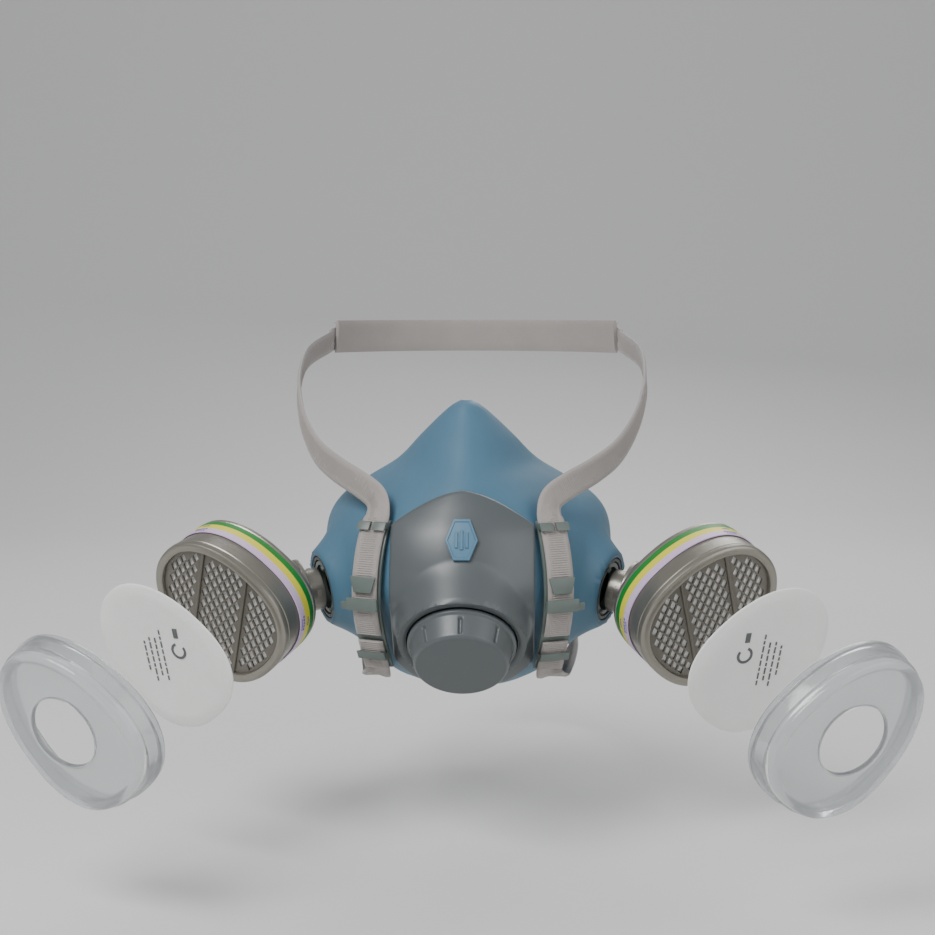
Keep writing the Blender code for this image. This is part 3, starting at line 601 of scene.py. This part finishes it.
def build_facepiece():
    across, rows = 132, 116
    low, high = SECTIONS[-1][0], SECTIONS[0][0]
    points = []
    for r in range(rows + 1):
        share = r / rows
        height = low + (high - low) * (0.35 * share + 0.65 * (0.5 - 0.5 * math.cos(math.pi * share)))
        for c in range(across + 1):
            share_across = c / across
            turn = math.pi * (share_across - 0.045 * math.sin(math.tau * 2 * share_across) / 2)
            points.append(swell(section_point(turn, height)))
    stride = across + 1
    faces = sheet_faces(across, rows)
    edge = ([r * stride for r in range(rows)] + [rows * stride + c for c in range(across)]
            + [r * stride + across for r in range(rows, 0, -1)] + list(range(across, 0, -1)))
    centre = Vector((0, 0.0, 0.010))
    last = edge
    for ring in lip_rings([points[i] for i in edge], centre):
        start = len(points)
        points += ring
        now = list(range(start, start + len(ring)))
        for i in range(len(now)):
            j = (i + 1) % len(now)
            faces.append((last[i], last[j], now[j], now[i]))
        last = now
    mesh = mesh_of("facepiece_skin", points, faces)
    face_forward(mesh)
    mask = new_object("facepiece_skin", mesh, "silicone", angle=60)
    thicken(mask, SILICONE_WALL)
    bores = [turned_mesh("bore", rod(VALVE_HOLE, -0.030, 0.014), VALVE, 96)]
    for place in (PORT, MIRROR @ PORT @ MIRROR):
        bores.append(turned_mesh("bore", rod(PORT_HOLE, -0.024, 0.006), place, 96))
    cut(mask, joined(bores))
    shaded(mask.data, 60)
    finish_piece(mask, "root", "blue_silicone", "facepiece")


# ---- shroud, badge and valve

def raise_collar(point):
    """Pulls the shroud's surface out along the valve's axis into the flared collar."""
    local = VALVE.inverted() @ point
    radius = math.hypot(local.x, local.y)
    if radius < COLLAR_REACH:
        outer = COLLAR_TOP - max(radius - COLLAR_OUTER + 0.0004, 0) * COLLAR_SLOPE
        inner = outer - min(max(COLLAR_INNER + 0.0014 - radius, 0), 0.0016) * 0.7
        local.z = smooth_max(local.z, inner, 0.006)
        point = VALVE @ local
    return point


def shroud_point(side, up, lift):
    """Point of the shroud at side, -1 to 1, and up, 0 to 1, with the collar raised."""
    crest = SHROUD_SHOULDER + (SHROUD_TOP - SHROUD_SHOULDER) * (1 - abs(side) ** 1.5)
    height = SHROUD_BOTTOM + (crest - SHROUD_BOTTOM) * up
    fall = max(0.0, (SHROUD_WAIST - height) / (SHROUD_WAIST - SHROUD_BOTTOM))
    half = SHROUD_HALF_WIDTH + (SHROUD_BOTTOM_HALF_WIDTH - SHROUD_HALF_WIDTH) * fall**2
    inset = min((1 - abs(side)) * half, (1 - up) * (crest - SHROUD_BOTTOM),
                up * (crest - SHROUD_BOTTOM))
    ease = 1 - (1 - min(inset / 0.0016, 1)) ** 2
    point = skin_point(side * half, height, lift - 0.0016 * (1 - math.sqrt(ease)))
    return raise_collar(point)


def build_shroud():
    across, rows = 96, 120
    points = [shroud_point(2 * c / across - 1, r / rows, SHROUD_LIFT)
              for r in range(rows + 1) for c in range(across + 1)]
    mesh = mesh_of("shroud_shell", points, sheet_faces(across, rows))
    face_forward(mesh)
    shell = new_object("shroud_shell", mesh, "shell", angle=50)
    thicken(shell, SHROUD_WALL)
    cut(shell, turned_mesh("opening", rod(COLLAR_INNER, -0.024, 0.014), VALVE, 144))
    throat = turned_mesh("throat", rounded([(COLLAR_INNER, 0.0008), (COLLAR_INNER + 0.0018, 0.0008),
                                            (COLLAR_INNER + 0.0022, COLLAR_TOP - 0.0009),
                                            (COLLAR_INNER, COLLAR_TOP - 0.0006)], 0.0004), VALVE, 128)
    shell.data = joined([shell.data, throat])
    dressed(shell, "shell", angle=50)
    finish_piece(shell, "root", "grey_shell", "front_shroud")


def badge_point(x, z, lift):
    """Point over the shroud as raised round the collar, straight in front of x and z."""
    point = skin_point(x, z, lift)
    point.y = raise_collar(point).y
    return point


def build_badge():
    """Six-sided badge that follows the shroud: raised rim, sunk field and three bars."""
    half_width, half_height, flat = 0.0066, 0.0078, 0.0033
    corners = [(half_width, 0), (flat, half_height), (-flat, half_height), (-half_width, 0),
               (-flat, -half_height), (flat, -half_height)]

    def outline(scale):
        ring = []
        for (x0, z0), (x1, z1) in zip(corners, corners[1:] + corners[:1]):
            ring += [((x0 + (x1 - x0) * k / 6) * scale, (z0 + (z1 - z0) * k / 6) * scale)
                     for k in range(6)]
        return ring

    base = SHROUD_LIFT + 0.0002
    layers = ((1.0, 0.0), (1.0, 0.0011), (0.965, 0.0015), (0.87, 0.0015), (0.84, 0.0010),
              (0.4, 0.0010), (0.02, 0.0010))
    rings = [[badge_point(x, BADGE_HEIGHT + z, base + lift) for x, z in outline(scale)]
             for scale, lift in layers]
    plate = loft_mesh("badge", rings)
    bars = []
    for middle, half in ((-0.0021, 0.0029), (0.0, 0.0036), (0.0021, 0.0029)):
        ring_pairs = []
        for inset, lift in ((0, 0.0009), (0, 0.0014), (0.00015, 0.0016)):
            ring = []
            for sx, sz in ((-1, -1), (1, -1), (1, 1), (-1, 1)):
                x = middle + sx * (0.0006 - inset)
                z = BADGE_HEIGHT + sz * (half - inset)
                ring.append(badge_point(x, z, base + lift))
            ring_pairs.append(ring)
        bars.append(loft_mesh("bar", ring_pairs))
    badge = new_object("badge_plate", joined([plate] + bars), "badge", angle=25)
    finish_piece(badge, "root", "blue_silicone", "size_badge")


def build_valve():
    rim, face, top = 0.0237, 0.0197, 0.019
    profile = [(rim - 0.0026, 0.0064), (rim, 0.0064), (rim, 0.0080), (rim - 0.0011, 0.0088),
               (rim - 0.0014, 0.0100), (face + 0.0009, top - 0.0022), (face + 0.0006, top - 0.0010),
               (face - 0.0004, top), (0, top), (0, top - 0.0017), (face - 0.0018, top - 0.0017),
               (rim - 0.0026, 0.0090)]
    fine = []
    shaped = rounded(profile, 0.0004, 3)
    for i, here in enumerate(shaped):
        after = shaped[(i + 1) % len(shaped)]
        fine.append(here)
        span = math.hypot(after[0] - here[0], after[1] - here[1])
        if span > 0.0012 and here[0] > face - 0.003:
            for k in range(1, int(span / 0.0006)):
                t = k / int(span / 0.0006)
                fine.append((here[0] + (after[0] - here[0]) * t, here[1] + (after[1] - here[1]) * t))

    def notches(angle, radius, height):
        """Eight grip notches in the cone and a wide outlet at its foot."""
        on_cone = 0.0096 < height < top - 0.0016 and radius > face - 0.0002
        if on_cone:
            off = abs((math.degrees(angle) + 22.5) % 45 - 22.5)
            if off < 2.4:
                deep = 1 - (off / 2.4) ** 4
                ends = min((height - 0.0096) / 0.0008, (top - 0.0016 - height) / 0.0008, 1)
                radius -= 0.0013 * deep * ends
            low = abs((math.degrees(angle) + 90 + 180) % 360 - 180)
            if low < 20 and height < 0.0145:
                radius -= 0.0016 * min((20 - low) / 4, 1) * min((0.0145 - height) / 0.001, 1)
        return radius, height

    corner = VALVE @ Matrix.Rotation(math.radians(-52), 4, "Z")
    tab = loft_mesh("tab", [[(0.0192, -w, h), (0.0232 - w * 0.2, -w, h), (0.0232 - w * 0.2, w, h),
                             (0.0192, w, h)] for w, h in ((0.0024, 0.0088), (0.0022, 0.0125),
                                                          (0.0017, 0.0131))], corner)
    cap = new_object("valve_cap", turned_mesh("valve_cap", fine, VALVE, 480, notches), "shell",
                     angle=40)
    cap.data = joined([cap.data, tab])
    dressed(cap, "shell", angle=40)
    finish_piece(cap, "valve_cover", "grey_shell", "valve_cover")
    seat_profile = [(0.0150, -0.005), (0.0176, -0.005), (0.0176, 0.0022), (0.0215, 0.0022),
                    (0.0215, 0.0040), (0.0150, 0.0040)]
    seat_parts = [turned_mesh("seat", rounded(seat_profile, 0.0004), VALVE)]
    seat_parts += boxes_round(VALVE, SPOKE_TURNS, (-0.0160, -0.0009, 0.0024),
                              (0.0160, 0.0009, 0.0037), SPOKE_DROP)
    seat_parts.append(turned_mesh("hub", rounded([(0, 0.0020), (0.0034, 0.0020), (0.0034, 0.0038),
                                                  (0, 0.0038)], 0.0003), VALVE, 48))
    seat = new_object("valve_seat_ring", joined(seat_parts), "dark")
    finish_piece(seat, "root", "dark_grey", "valve_seat")
    flap_profile = [(0, 0.0043), (0.0150, 0.0043), (0.0165, 0.0046), (0.0165, 0.0050),
                    (0.0120, 0.00485), (0, 0.0050)]
    flap = new_object("exhalation_disc", turned_mesh("flap", rounded(flap_profile, 0.0001, 2),
                                                     VALVE), "flap")
    finish_piece(flap, "exhalation_flap", "clear_flap", "exhalation_flap")
    ring = [(0.0196 + 0.0008 * math.cos(a), 0.0052 + 0.0008 * math.sin(a))
            for a in (math.tau * k / 16 for k in range(16))]
    seal = new_object("cover_seal_ring", turned_mesh("seal", ring, VALVE), "rubber", angle=80)
    finish_piece(seal, "valve_cover_seal", "seal_rubber", "valve_cover_seal")


# ---- ports

def build_ports():
    body = [(0.0098, -0.0090), (0.0141, -0.0090), (0.0141, -0.0036), (0.0147, -0.0034),
            (0.0147, 0.0006), (0.0142, 0.0009), (0.0128, 0.0008), (0.0128, -0.0046),
            (0.0098, -0.0066)]
    parts = [turned_mesh("connector", rounded(body, 0.0004), PORT)]
    parts += boxes_round(PORT, SPOKE_TURNS, (-0.0108, -0.0008, -0.0087),
                         (0.0108, 0.0008, -0.0075), SPOKE_DROP)
    connector = new_object("port_ring_right", joined(parts), "dark")
    finish_pair(connector, "root", "dark_grey", "port_connector_SIDE")
    ring = [(0.0103, -0.0040), (0.0124, -0.0040), (0.0124, 0.0004), (0.0103, 0.0004)]
    lock_parts = [turned_mesh("lock", rounded(ring, 0.0003), PORT)]
    lock_parts += boxes_round(PORT, (0, 120, 240), (0.0107, -0.0012, -0.0002),
                              (0.0122, 0.0012, 0.0016))
    lock = bevelled(new_object("bayonet_ring_right", joined(lock_parts), "frame"), 0.00015)
    finish_pair(lock, "lock_ring_SIDE", "frame_grey", "lock_ring_SIDE")
    disc = [(0, -0.0098), (0.0104, -0.0098), (0.0104, -0.0093), (0, -0.0093)]
    flap = new_object("inhalation_disc_right", turned_mesh("disc", disc, PORT, 72), "flap")
    finish_pair(flap, "inhalation_flap_SIDE", "clear_flap", "inhalation_flap_SIDE")


# ---- strap frames and straps

def frame_point(across, lift, height):
    spread = Vector((math.cos(FRAME_TURN), math.sin(FRAME_TURN), 0))
    normal = Vector((math.sin(FRAME_TURN), -math.cos(FRAME_TURN), 0))
    return FRAME_CENTRE + spread * across + normal * lift + Vector((0, 0, height))


def frame_lift(height):
    return smooth_rows(FRAME_RUN, height)[0]


def spaced(low, high, count):
    return [low + (high - low) * i / (count - 1) for i in range(count)]


def refined(node_name, name, width, made):
    """Copy of a CAD node with its edges eased."""
    mesh = frame["nodes"][node_name].data.copy()
    thing = new_object(name, mesh, made)
    bm = bmesh.new()
    bm.from_mesh(mesh)
    bmesh.ops.remove_doubles(bm, verts=bm.verts, dist=1e-6)
    bmesh.ops.dissolve_limit(bm, angle_limit=math.radians(1), verts=bm.verts, edges=bm.edges)
    bm.to_mesh(mesh)
    bm.free()
    return bevelled(thing, width)


def build_frames():
    for node_name, name, width, body in (
            ("strap_frame_right", "strap_ladder_right", 0.00025, "root"),
            ("strap_keeper_right", "keeper_plate_right", 0.00025, "root"),
            ("strap_adjuster_right", "adjuster_bar_right", 0.00030, "strap_adjuster_SIDE")):
        piece = refined(node_name, name, width, "frame")
        finish_pair(piece, body, "frame_grey", node_name.replace("right", "SIDE"))


def curve_through(knots, steps):
    rows = [(float(i), *p, *n) for i, (p, n) in enumerate(knots)]
    out = []
    for k in range(steps + 1):
        values = smooth_rows(rows, (len(knots) - 1) * k / steps)
        out.append((Vector(values[:3]), Vector(values[3:]).normalized()))
    return out


def frame_knot(height):
    point = frame_point(0, frame_lift(height) + FRAME_WALL + STRAP_SLOT / 2, height)
    return (tuple(point), (math.sin(FRAME_TURN), -math.cos(FRAME_TURN), 0.0))


def even_route(route, pitch):
    """Route resampled at equal distances."""
    out = [route[0]]
    carried = 0.0
    for (p0, n0), (p1, n1) in zip(route, route[1:]):
        span = (p1 - p0).length
        at = pitch - carried
        while at <= span:
            t = at / span
            out.append((p0.lerp(p1, t), n0.lerp(n1, t).normalized()))
            at += pitch
        carried = span - (at - pitch)
    out.append(route[-1])
    return out


def strap_mesh(name, route, width, thick, rib=0.00020, pitch=0.0005, welt=0.00010):
    """Webbing strip: cross ribs, a slightly thicker edge on each side, rounded edges."""
    route = even_route(route, pitch)
    count = len(route)
    lanes = 8
    rings = []
    for i, (point, normal) in enumerate(route):
        ahead, behind = route[min(i + 1, count - 1)][0], route[max(i - 1, 0)][0]
        along = (ahead - behind).normalized()
        across = along.cross(normal).normalized()
        out = across.cross(along).normalized()
        if out.dot(normal) < 0:
            out = -out
        lift = rib if i % 2 else -rib
        ring = []
        for face, order in ((1, range(lanes + 1)), (-1, range(lanes, -1, -1))):
            for k in order:
                s = 2 * k / lanes - 1
                edge = 1 - max(abs(s) - 0.86, 0) / 0.14
                half = thick / 2 * (0.45 + 0.55 * math.sqrt(max(edge, 0))) + lift * (edge > 0.3)
                if face == 1:
                    half += welt * (0.6 < abs(s) < 0.9)
                ring.append(point + across * (s * width / 2) + out * (face * half))
        rings.append(ring)
    return loft_mesh(name, rings)


def build_straps():
    for name, node_name, low, high, count, knots in (
            ("head_strap_right", "upper_strap_SIDE", -0.016, 0.037, 9, UPPER_KNOTS),
            ("nape_strap_right", "neck_strap_SIDE", -0.0190, -0.0312, 5, LOWER_KNOTS)):
        route = [frame_knot(height) for height in spaced(low, high, count)] + list(knots)
        mesh = strap_mesh("strap", curve_through(route, 160), STRAP_WIDTH, STRAP_THICK)
        finish_pair(new_object(name, mesh, "webbing", angle=75), "root", "webbing", node_name)
    arc = []
    for k in range(97):
        angle = math.radians(-60 + 120 * k / 96)
        normal = (math.sin(angle), math.cos(angle), 0.08)
        arc.append((Vector((0.0895 * math.sin(angle), 0.0760 + 0.093 * math.cos(angle),
                            0.1110)), Vector(normal).normalized()))
    band = new_object("cradle_band", strap_mesh("band", arc, 0.018, 0.0018, pitch=0.0009,
                                                welt=0.00025), "webbing", angle=75)
    finish_piece(band, "root", "webbing", "head_cradle")
    stitches = []
    for row in (-0.0074, 0.0074):
        for point, normal in even_route(arc, 0.0030):
            across = Vector((0, 0, 1))
            along = across.cross(normal).normalized()
            place = Matrix((along, normal, across)).transposed().to_4x4()
            place.translation = point + across * row + normal * 0.00108
            stitches.append(box_mesh("stitch", (-0.0009, -0.0001, -0.00016),
                                     (0.0009, 0.00016, 0.00016), place))
    thread = new_object("cradle_stitching", joined(stitches), "stitch", smooth=False)
    finish_piece(thread, "root", "webbing")


def build_clasp():
    for name, new_name, body in (("clasp_loop", "clasp_loop_half", "root"),
                                 ("clasp_hook", "clasp_hook_half", "clasp_hook")):
        piece = refined(name, new_name, 0.0003, "frame")
        finish_piece(piece, body, "frame_grey", name)


# ---- cartridges

def egg_point(angle, grow):
    c, s = math.cos(angle), math.sin(angle)
    u = math.copysign(abs(c) ** (2 / EGG_ROUNDNESS), c)
    v = math.copysign(abs(s) ** (2 / EGG_ROUNDNESS), s) * (1 - EGG_TAPER * u)
    x, y = (EGG_LONG + grow) * u, (EGG_SHORT + grow) * v
    return (x * math.cos(EGG_ANGLE) - y * math.sin(EGG_ANGLE),
            x * math.sin(EGG_ANGLE) + y * math.cos(EGG_ANGLE))


def egg(grow):
    return [egg_point(math.tau * k / EGG_STEPS, grow) for k in range(EGG_STEPS)]


def egg_rings(layers):
    return [[(x, y, height) for x, y in egg(grow)] for grow, height in layers]


def egg_stack(name, place, layers, capped=False, kinds=None):
    return loft_mesh(name, egg_rings(layers), place, capped, kinds)


def build_cartridge():
    wall = CARTRIDGE_WALL
    layers = [(-0.0250, 0.0), (-0.0100, 0.0), (-0.0014, 0.0), (-0.0004, 0.0003), (0.0, 0.0010),
              (0.0004, 0.0014), (0.0004, 0.0028), (0.0, 0.0032), (0.0, 0.0035), (0.0, 0.0154),
              (0.0, 0.0158), (0.0, 0.0205), (0.0003, 0.0209), (0.0003, 0.0236), (0.0, 0.0240),
              (-wall, 0.0240), (-wall, 0.0020), (-wall - 0.0004, 0.0016), (-0.0250, 0.0016)]
    shell = egg_stack("shell", CARTRIDGE, layers, capped=True)
    neck = PORT @ Matrix.Translation((0, 0, JOINTS["cartridge_right_insert"]["range_m"][1]))
    stalk = [(0.0085, -0.0060), (0.0098, -0.0060), (0.0098, 0.0018), (0.0155, 0.0018),
             (0.0155, 0.0038), (0.0122, 0.0046), (0.0115, 0.0056), (0.0115, 0.0165),
             (0.0085, 0.0165)]
    tube = turned_mesh("neck", rounded(stalk, 0.0004), neck)
    lugs = boxes_round(neck, (60, 180, 300), (0.0090, -0.0016, -0.0040),
                       (0.0101, 0.0016, -0.0022))
    housing = new_object("cartridge_shell_right", joined([shell, tube] + lugs), "silver")
    finish_pair(housing, "cartridge_SIDE", "silver_shell", "cartridge_housing_SIDE")
    stripes = [(0.0003, 0.0040), (0.0007, 0.0041), (0.0007, 0.0072), (0.0007, 0.0111),
               (0.0007, 0.0149), (0.0003, 0.0150)]
    band_mesh = egg_stack("band", CARTRIDGE, stripes, kinds=[0, 0, 1, 2, 2, 2])
    band = new_object("label_stripes_right", band_mesh, "green", "yellow", "lilac")
    finish_pair(band, "cartridge_SIDE", "label", "label_band_SIDE")
    build_label_marks()
    felt = [(-wall - 0.0006, 0.0208), (-wall - 0.0006, 0.0233), (-0.0041, 0.0236),
            (-0.0046, 0.0246), (-0.0062, 0.0251)]
    media = new_object("felt_disc_right", egg_stack("felt", CARTRIDGE, felt, capped=True), "felt")
    for piece in finish_pair(media, "cartridge_SIDE", "white_felt", "media_felt_SIDE"):
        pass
    coal = [(-wall - 0.0010, 0.0080), (-wall - 0.0006, 0.0084), (-wall - 0.0006, 0.0202),
            (-wall - 0.0010, 0.0205)]
    bed = new_object("carbon_bed_right", egg_stack("bed", CARTRIDGE, coal, capped=True), "charcoal")
    finish_pair(bed, "cartridge_SIDE", "charcoal", "sorbent_bed_SIDE")


def build_label_marks():
    """Plain printed bars on the label, in three groups."""
    marks = []
    for middle in (25, 145, 265):
        for low, high, spans in ((0.0116, 0.0126, (-7, 7)), (0.0134, 0.0140, (-5, 6)),
                                 (0.0084, 0.0092, (-3, 5))):
            cells = 14
            for k in range(cells):
                if k % 3 == 2:
                    continue
                a0, a1 = (math.radians(middle + spans[0] + (spans[1] - spans[0]) * j / cells)
                          for j in (k, k + 1))
                corners = ((a0, low), (a1, low), (a1, high), (a0, high))
                marks.append(loft_mesh("mark", [[(*egg_point(angle, grow), height)
                                                 for angle, height in corners]
                                                for grow in (0.0007, 0.00082)], CARTRIDGE))
    print_piece = new_object("label_marks_right", joined(marks), "ink", smooth=False)
    finish_pair(print_piece, "cartridge_SIDE", "label")


def build_grille():
    """Lid: rounded rim, sunk plate with a lattice of diamond holes, and two cross ribs."""
    rim = [(-0.0034, 0.0243), (0.0002, 0.0243), (0.0006, 0.0247), (0.0006, 0.0266),
           (0.0004, 0.0273), (-0.0002, 0.0278), (-0.0010, 0.0280), (-0.0026, 0.0280),
           (-0.0033, 0.0277), (-0.0036, 0.0271), (-0.0038, 0.0262)]
    rim_mesh = egg_stack("rim", CARTRIDGE, rim)
    plate_layers = [(-0.0030, 0.0254), (-0.0030, 0.0262)]
    plate = new_object("lattice_lid_right", egg_stack("plate", CARTRIDGE, plate_layers, capped=True),
                       "silver", angle=30)
    lean = math.radians(20)
    across, up = Vector((math.cos(lean), math.sin(lean))), Vector((-math.sin(lean), math.cos(lean)))
    pitch_u, pitch_v, half_u, half_v = 0.0043, 0.0062, 0.00158, 0.0025
    ribs = (-0.0115, 0.0115)
    hole_reach, rib_reach = -0.0059, -0.0034
    holes = []
    for row in range(-12, 13):
        for column in range(-9, 10):
            u = (column + (0.5 if row % 2 else 0.0)) * pitch_u
            v = row * pitch_v / 2
            if any(abs(u - rib) < half_u + 0.0009 for rib in ribs):
                continue
            middle = across * u + up * v
            if not inside_egg(middle, hole_reach):
                continue
            ring = [middle + across * half_u, middle + up * half_v, middle - across * half_u,
                    middle - up * half_v]
            holes.append(loft_mesh("hole", [[(p.x, p.y, h) for p in ring]
                                            for h in (0.0240, 0.0272)], CARTRIDGE))
    cut(plate, joined(holes))
    rib_meshes = []
    for rib in ribs:
        ends = []
        for sign in (-1, 1):
            reach = 0.0
            while inside_egg(across * rib + up * sign * (reach + 0.0005), rib_reach):
                reach += 0.0005
            ends.append(across * rib + up * sign * reach)
        rings = []
        for half, height in ((0.0009, 0.0256), (0.0009, 0.0268), (0.0006, 0.0271)):
            rings.append([(p.x, p.y, height) for p in
                          (ends[0] - across * half, ends[0] + across * half,
                           ends[1] + across * half, ends[1] - across * half)])
        rib_meshes.append(loft_mesh("rib", rings, CARTRIDGE))
    for mesh in [plate.data] + rib_meshes:
        for face in mesh.polygons:
            face.material_index = 1
    plate.data = joined([plate.data, rim_mesh] + rib_meshes)
    dressed(plate, "silver", "lattice", angle=30)
    finish_pair(plate, "cartridge_SIDE", "silver_shell", "grille_lid_SIDE")


def inside_egg(point, grow):
    x = point.x * math.cos(EGG_ANGLE) + point.y * math.sin(EGG_ANGLE)
    y = -point.x * math.sin(EGG_ANGLE) + point.y * math.cos(EGG_ANGLE)
    u = x / (EGG_LONG + grow)
    if abs(u) >= 1:
        return False
    v = y / ((EGG_SHORT + grow) * (1 - EGG_TAPER * u))
    return abs(u) ** EGG_ROUNDNESS + abs(v) ** EGG_ROUNDNESS < 1


def build_pad():
    """Felt pad: crowned, with a pressed edge, and plain printed bars."""
    low = CARTRIDGE_DEPTH + GAP
    rings = []
    layers = [(-0.0275, 0.0001), (-0.020, 0.0), (-0.0050, 0.0), (-0.0020, 0.0004), (-0.0004, 0.0005),
              (0.0, 0.0008), (0.0, 0.0011), (-0.0004, 0.0014), (-0.0018, 0.0014), (-0.0028, 0.0018),
              (-0.0060, 0.0019), (-0.0120, 0.0019), (-0.0200, 0.0019), (-0.0275, 0.0019)]
    for grow, height in layers:
        ring = []
        for x, y in egg(grow):
            ripple = noise.noise(Vector((x, y, 0.3)) * 90) * 0.00014
            ring.append((x, y, low + height + (ripple if height > 0.0012 else ripple * 0.4)))
        rings.append(ring)
    mesh = loft_mesh("pad", rings, PAD)
    pad = new_object("felt_pad_right", mesh, "felt", angle=60)
    for piece in finish_pair(pad, "filter_pad_SIDE", "white_felt", "filter_pad_SIDE"):
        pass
    marks = []
    top = low + 0.0019
    spin = Matrix.Rotation(math.radians(90), 4, "Z")

    def bar(x0, y0, x1, y1):
        marks.append(box_mesh("bar", (x0, y0, top), (x1, y1, top + 0.0002), PAD @ spin))

    for line, (start, length) in enumerate(((-0.012, 0.024), (-0.010, 0.018), (-0.013, 0.021),
                                            (-0.008, 0.014))):
        y = 0.0005 - 0.0030 * line
        at = start
        word = 0
        while at < start + length:
            size = (0.0022, 0.0030, 0.0016, 0.0026)[word % 4]
            bar(at, y, min(at + size, start + length), y + 0.00075)
            at += size + 0.0008
            word += 1
    ring_steps = 40
    centre = Vector((0.003, 0.0095))
    inner, outer, start, end = 0.0026, 0.0038, 0.15, 0.95
    for k in range(ring_steps):
        a0, a1 = (math.tau * (start + (end - start) * j / ring_steps) for j in (k, k + 1))
        quad = [(centre.x + r * math.cos(a), centre.y + r * math.sin(a))
                for r, a in ((inner, a0), (outer, a0), (outer, a1), (inner, a1))]
        marks.append(loft_mesh("arc", [[(x, y, h) for x, y in quad]
                                       for h in (top, top + 0.0002)], PAD @ spin))
    bar(centre.x + 0.0060, centre.y - 0.0012, centre.x + 0.0105, centre.y + 0.0012)
    ink = new_object("pad_marks_right", joined(marks), "print", smooth=False)
    finish_pair(ink, "filter_pad_SIDE", "white_felt")


def build_cover():
    """Clear retainer: flange, stepped skirt, rounded shoulder, face and rolled round hole."""
    inside = CARTRIDGE_DEPTH + 2 * GAP + PAD_THICK
    outside = inside + COVER_WALL
    foot = inside - COVER_SKIRT
    outer = [(COVER_INSIDE, foot), (0.0027, foot), (0.0029, foot + 0.0003), (0.0029, foot + 0.0025),
             (0.0027, foot + 0.0029), (0.0020, foot + 0.0032), (0.0018, foot + 0.0036),
             (0.0018, outside - 0.0046), (0.0016, outside - 0.0043), (0.0010, outside - 0.0041),
             (0.0008, outside - 0.0038), (0.0007, outside - 0.0017), (0.0003, outside - 0.0007),
             (-0.0006, outside - 0.0001), (-0.0016, outside + 0.0001), (-0.0024, outside),
             (-0.0030, outside - 0.0002), (-0.0044, outside - 0.0002)]
    inner = [(-0.0040, inside), (-0.0012, inside - 0.0001), (0.0, inside - 0.0005),
             (0.0008, inside - 0.0016), (COVER_INSIDE, inside - 0.0034)]
    rings = egg_rings(outer)

    def round_ring(radius, height):
        return [(x * radius / math.hypot(x, y), y * radius / math.hypot(x, y), height)
                for x, y in egg(0)]

    lip = [(COVER_HOLE + 0.0030, outside - 0.0002), (COVER_HOLE + 0.0012, outside + 0.0001),
           (COVER_HOLE + 0.0006, outside + 0.0007), (COVER_HOLE + 0.0002, outside + 0.0006),
           (COVER_HOLE, outside), (COVER_HOLE, inside + 0.0002), (COVER_HOLE + 0.0004, inside),
           (COVER_HOLE + 0.0030, inside)]
    rings += [round_ring(radius, height) for radius, height in lip]
    rings += egg_rings(inner)
    cover = new_object("clear_retainer_right", loft_mesh("cover", rings, COVER, capped=False),
                       "clear", angle=50)
    finish_pair(cover, "pad_cover_SIDE", "clear_cover", "pad_cover_SIDE")


# ---- floor, light and camera

def build_stage():
    bend = [(0.9 + 0.9 * math.sin(a), 0.9 - 0.9 * math.cos(a))
            for a in (math.radians(9 * k) for k in range(11))]
    profile = [(-3.0, 0.0), (-1.0, 0.0), *bend, (1.8, 2.0), (1.8, 4.0)]
    points = [(x, y, z) for x in (-4.0, 4.0) for y, z in profile]
    count = len(profile)
    floor_mesh = mesh_of("floor", points, [(i, i + 1, count + i + 1, count + i)
                                           for i in range(count - 1)])
    floor_mesh.shade_smooth()
    floor = linked("floor", floor_mesh)
    floor.location.z = CAD_BOX[0][2] - FLOOR_DROP
    made = material("floor_paper", (0.70, 0.70, 0.69), 0.80, mottle=0.01, bump=0.02)
    floor_mesh.materials.append(made)
    world = bpy.data.worlds.new("studio")
    world.use_nodes = True
    sky = world.node_tree.nodes["Background"].inputs
    sky["Color"].default_value = (0.86, 0.88, 0.90, 1)
    sky["Strength"].default_value = 0.46
    bpy.context.scene.world = world
    aim = Vector((0, -0.04, 0.01))
    for name, place, size, power in (("key", (-0.55, -0.75, 0.95), 0.6, 15.0),
                                     ("fill", (0.85, -0.65, 0.45), 0.9, 4.5),
                                     ("rim", (0.15, 0.95, 0.75), 0.7, 6.0)):
        data = bpy.data.lights.new(name, "AREA")
        data.size = size
        data.energy = power
        light = linked(name, data)
        light.location = place
        light.rotation_euler = (aim - Vector(place)).to_track_quat("-Z", "Y").to_euler()


def build_camera():
    """Level-headed view from just right of centre and a little above."""
    turn, rise, distance = math.radians(2.0), math.radians(6.0), 0.6818
    aim = Vector((0.001, -0.035, 0.0545))
    back = Vector((math.sin(turn) * math.cos(rise), -math.cos(turn) * math.cos(rise),
                   math.sin(rise)))
    data = bpy.data.cameras.new("camera")
    data.sensor_width = 36
    data.lens = 57.75
    data.clip_start = 0.01
    camera = linked("camera", data)
    camera.location = aim + back * distance
    camera.rotation_euler = (-back).to_track_quat("-Z", "Y").to_euler()
    bpy.context.scene.camera = camera


build_camera()
build_facepiece()
build_shroud()
build_badge()
build_valve()
build_ports()
build_frames()
build_straps()
build_clasp()
build_cartridge()
build_grille()
build_pad()
build_cover()
build_stage()

bpy.context.view_layer.update()
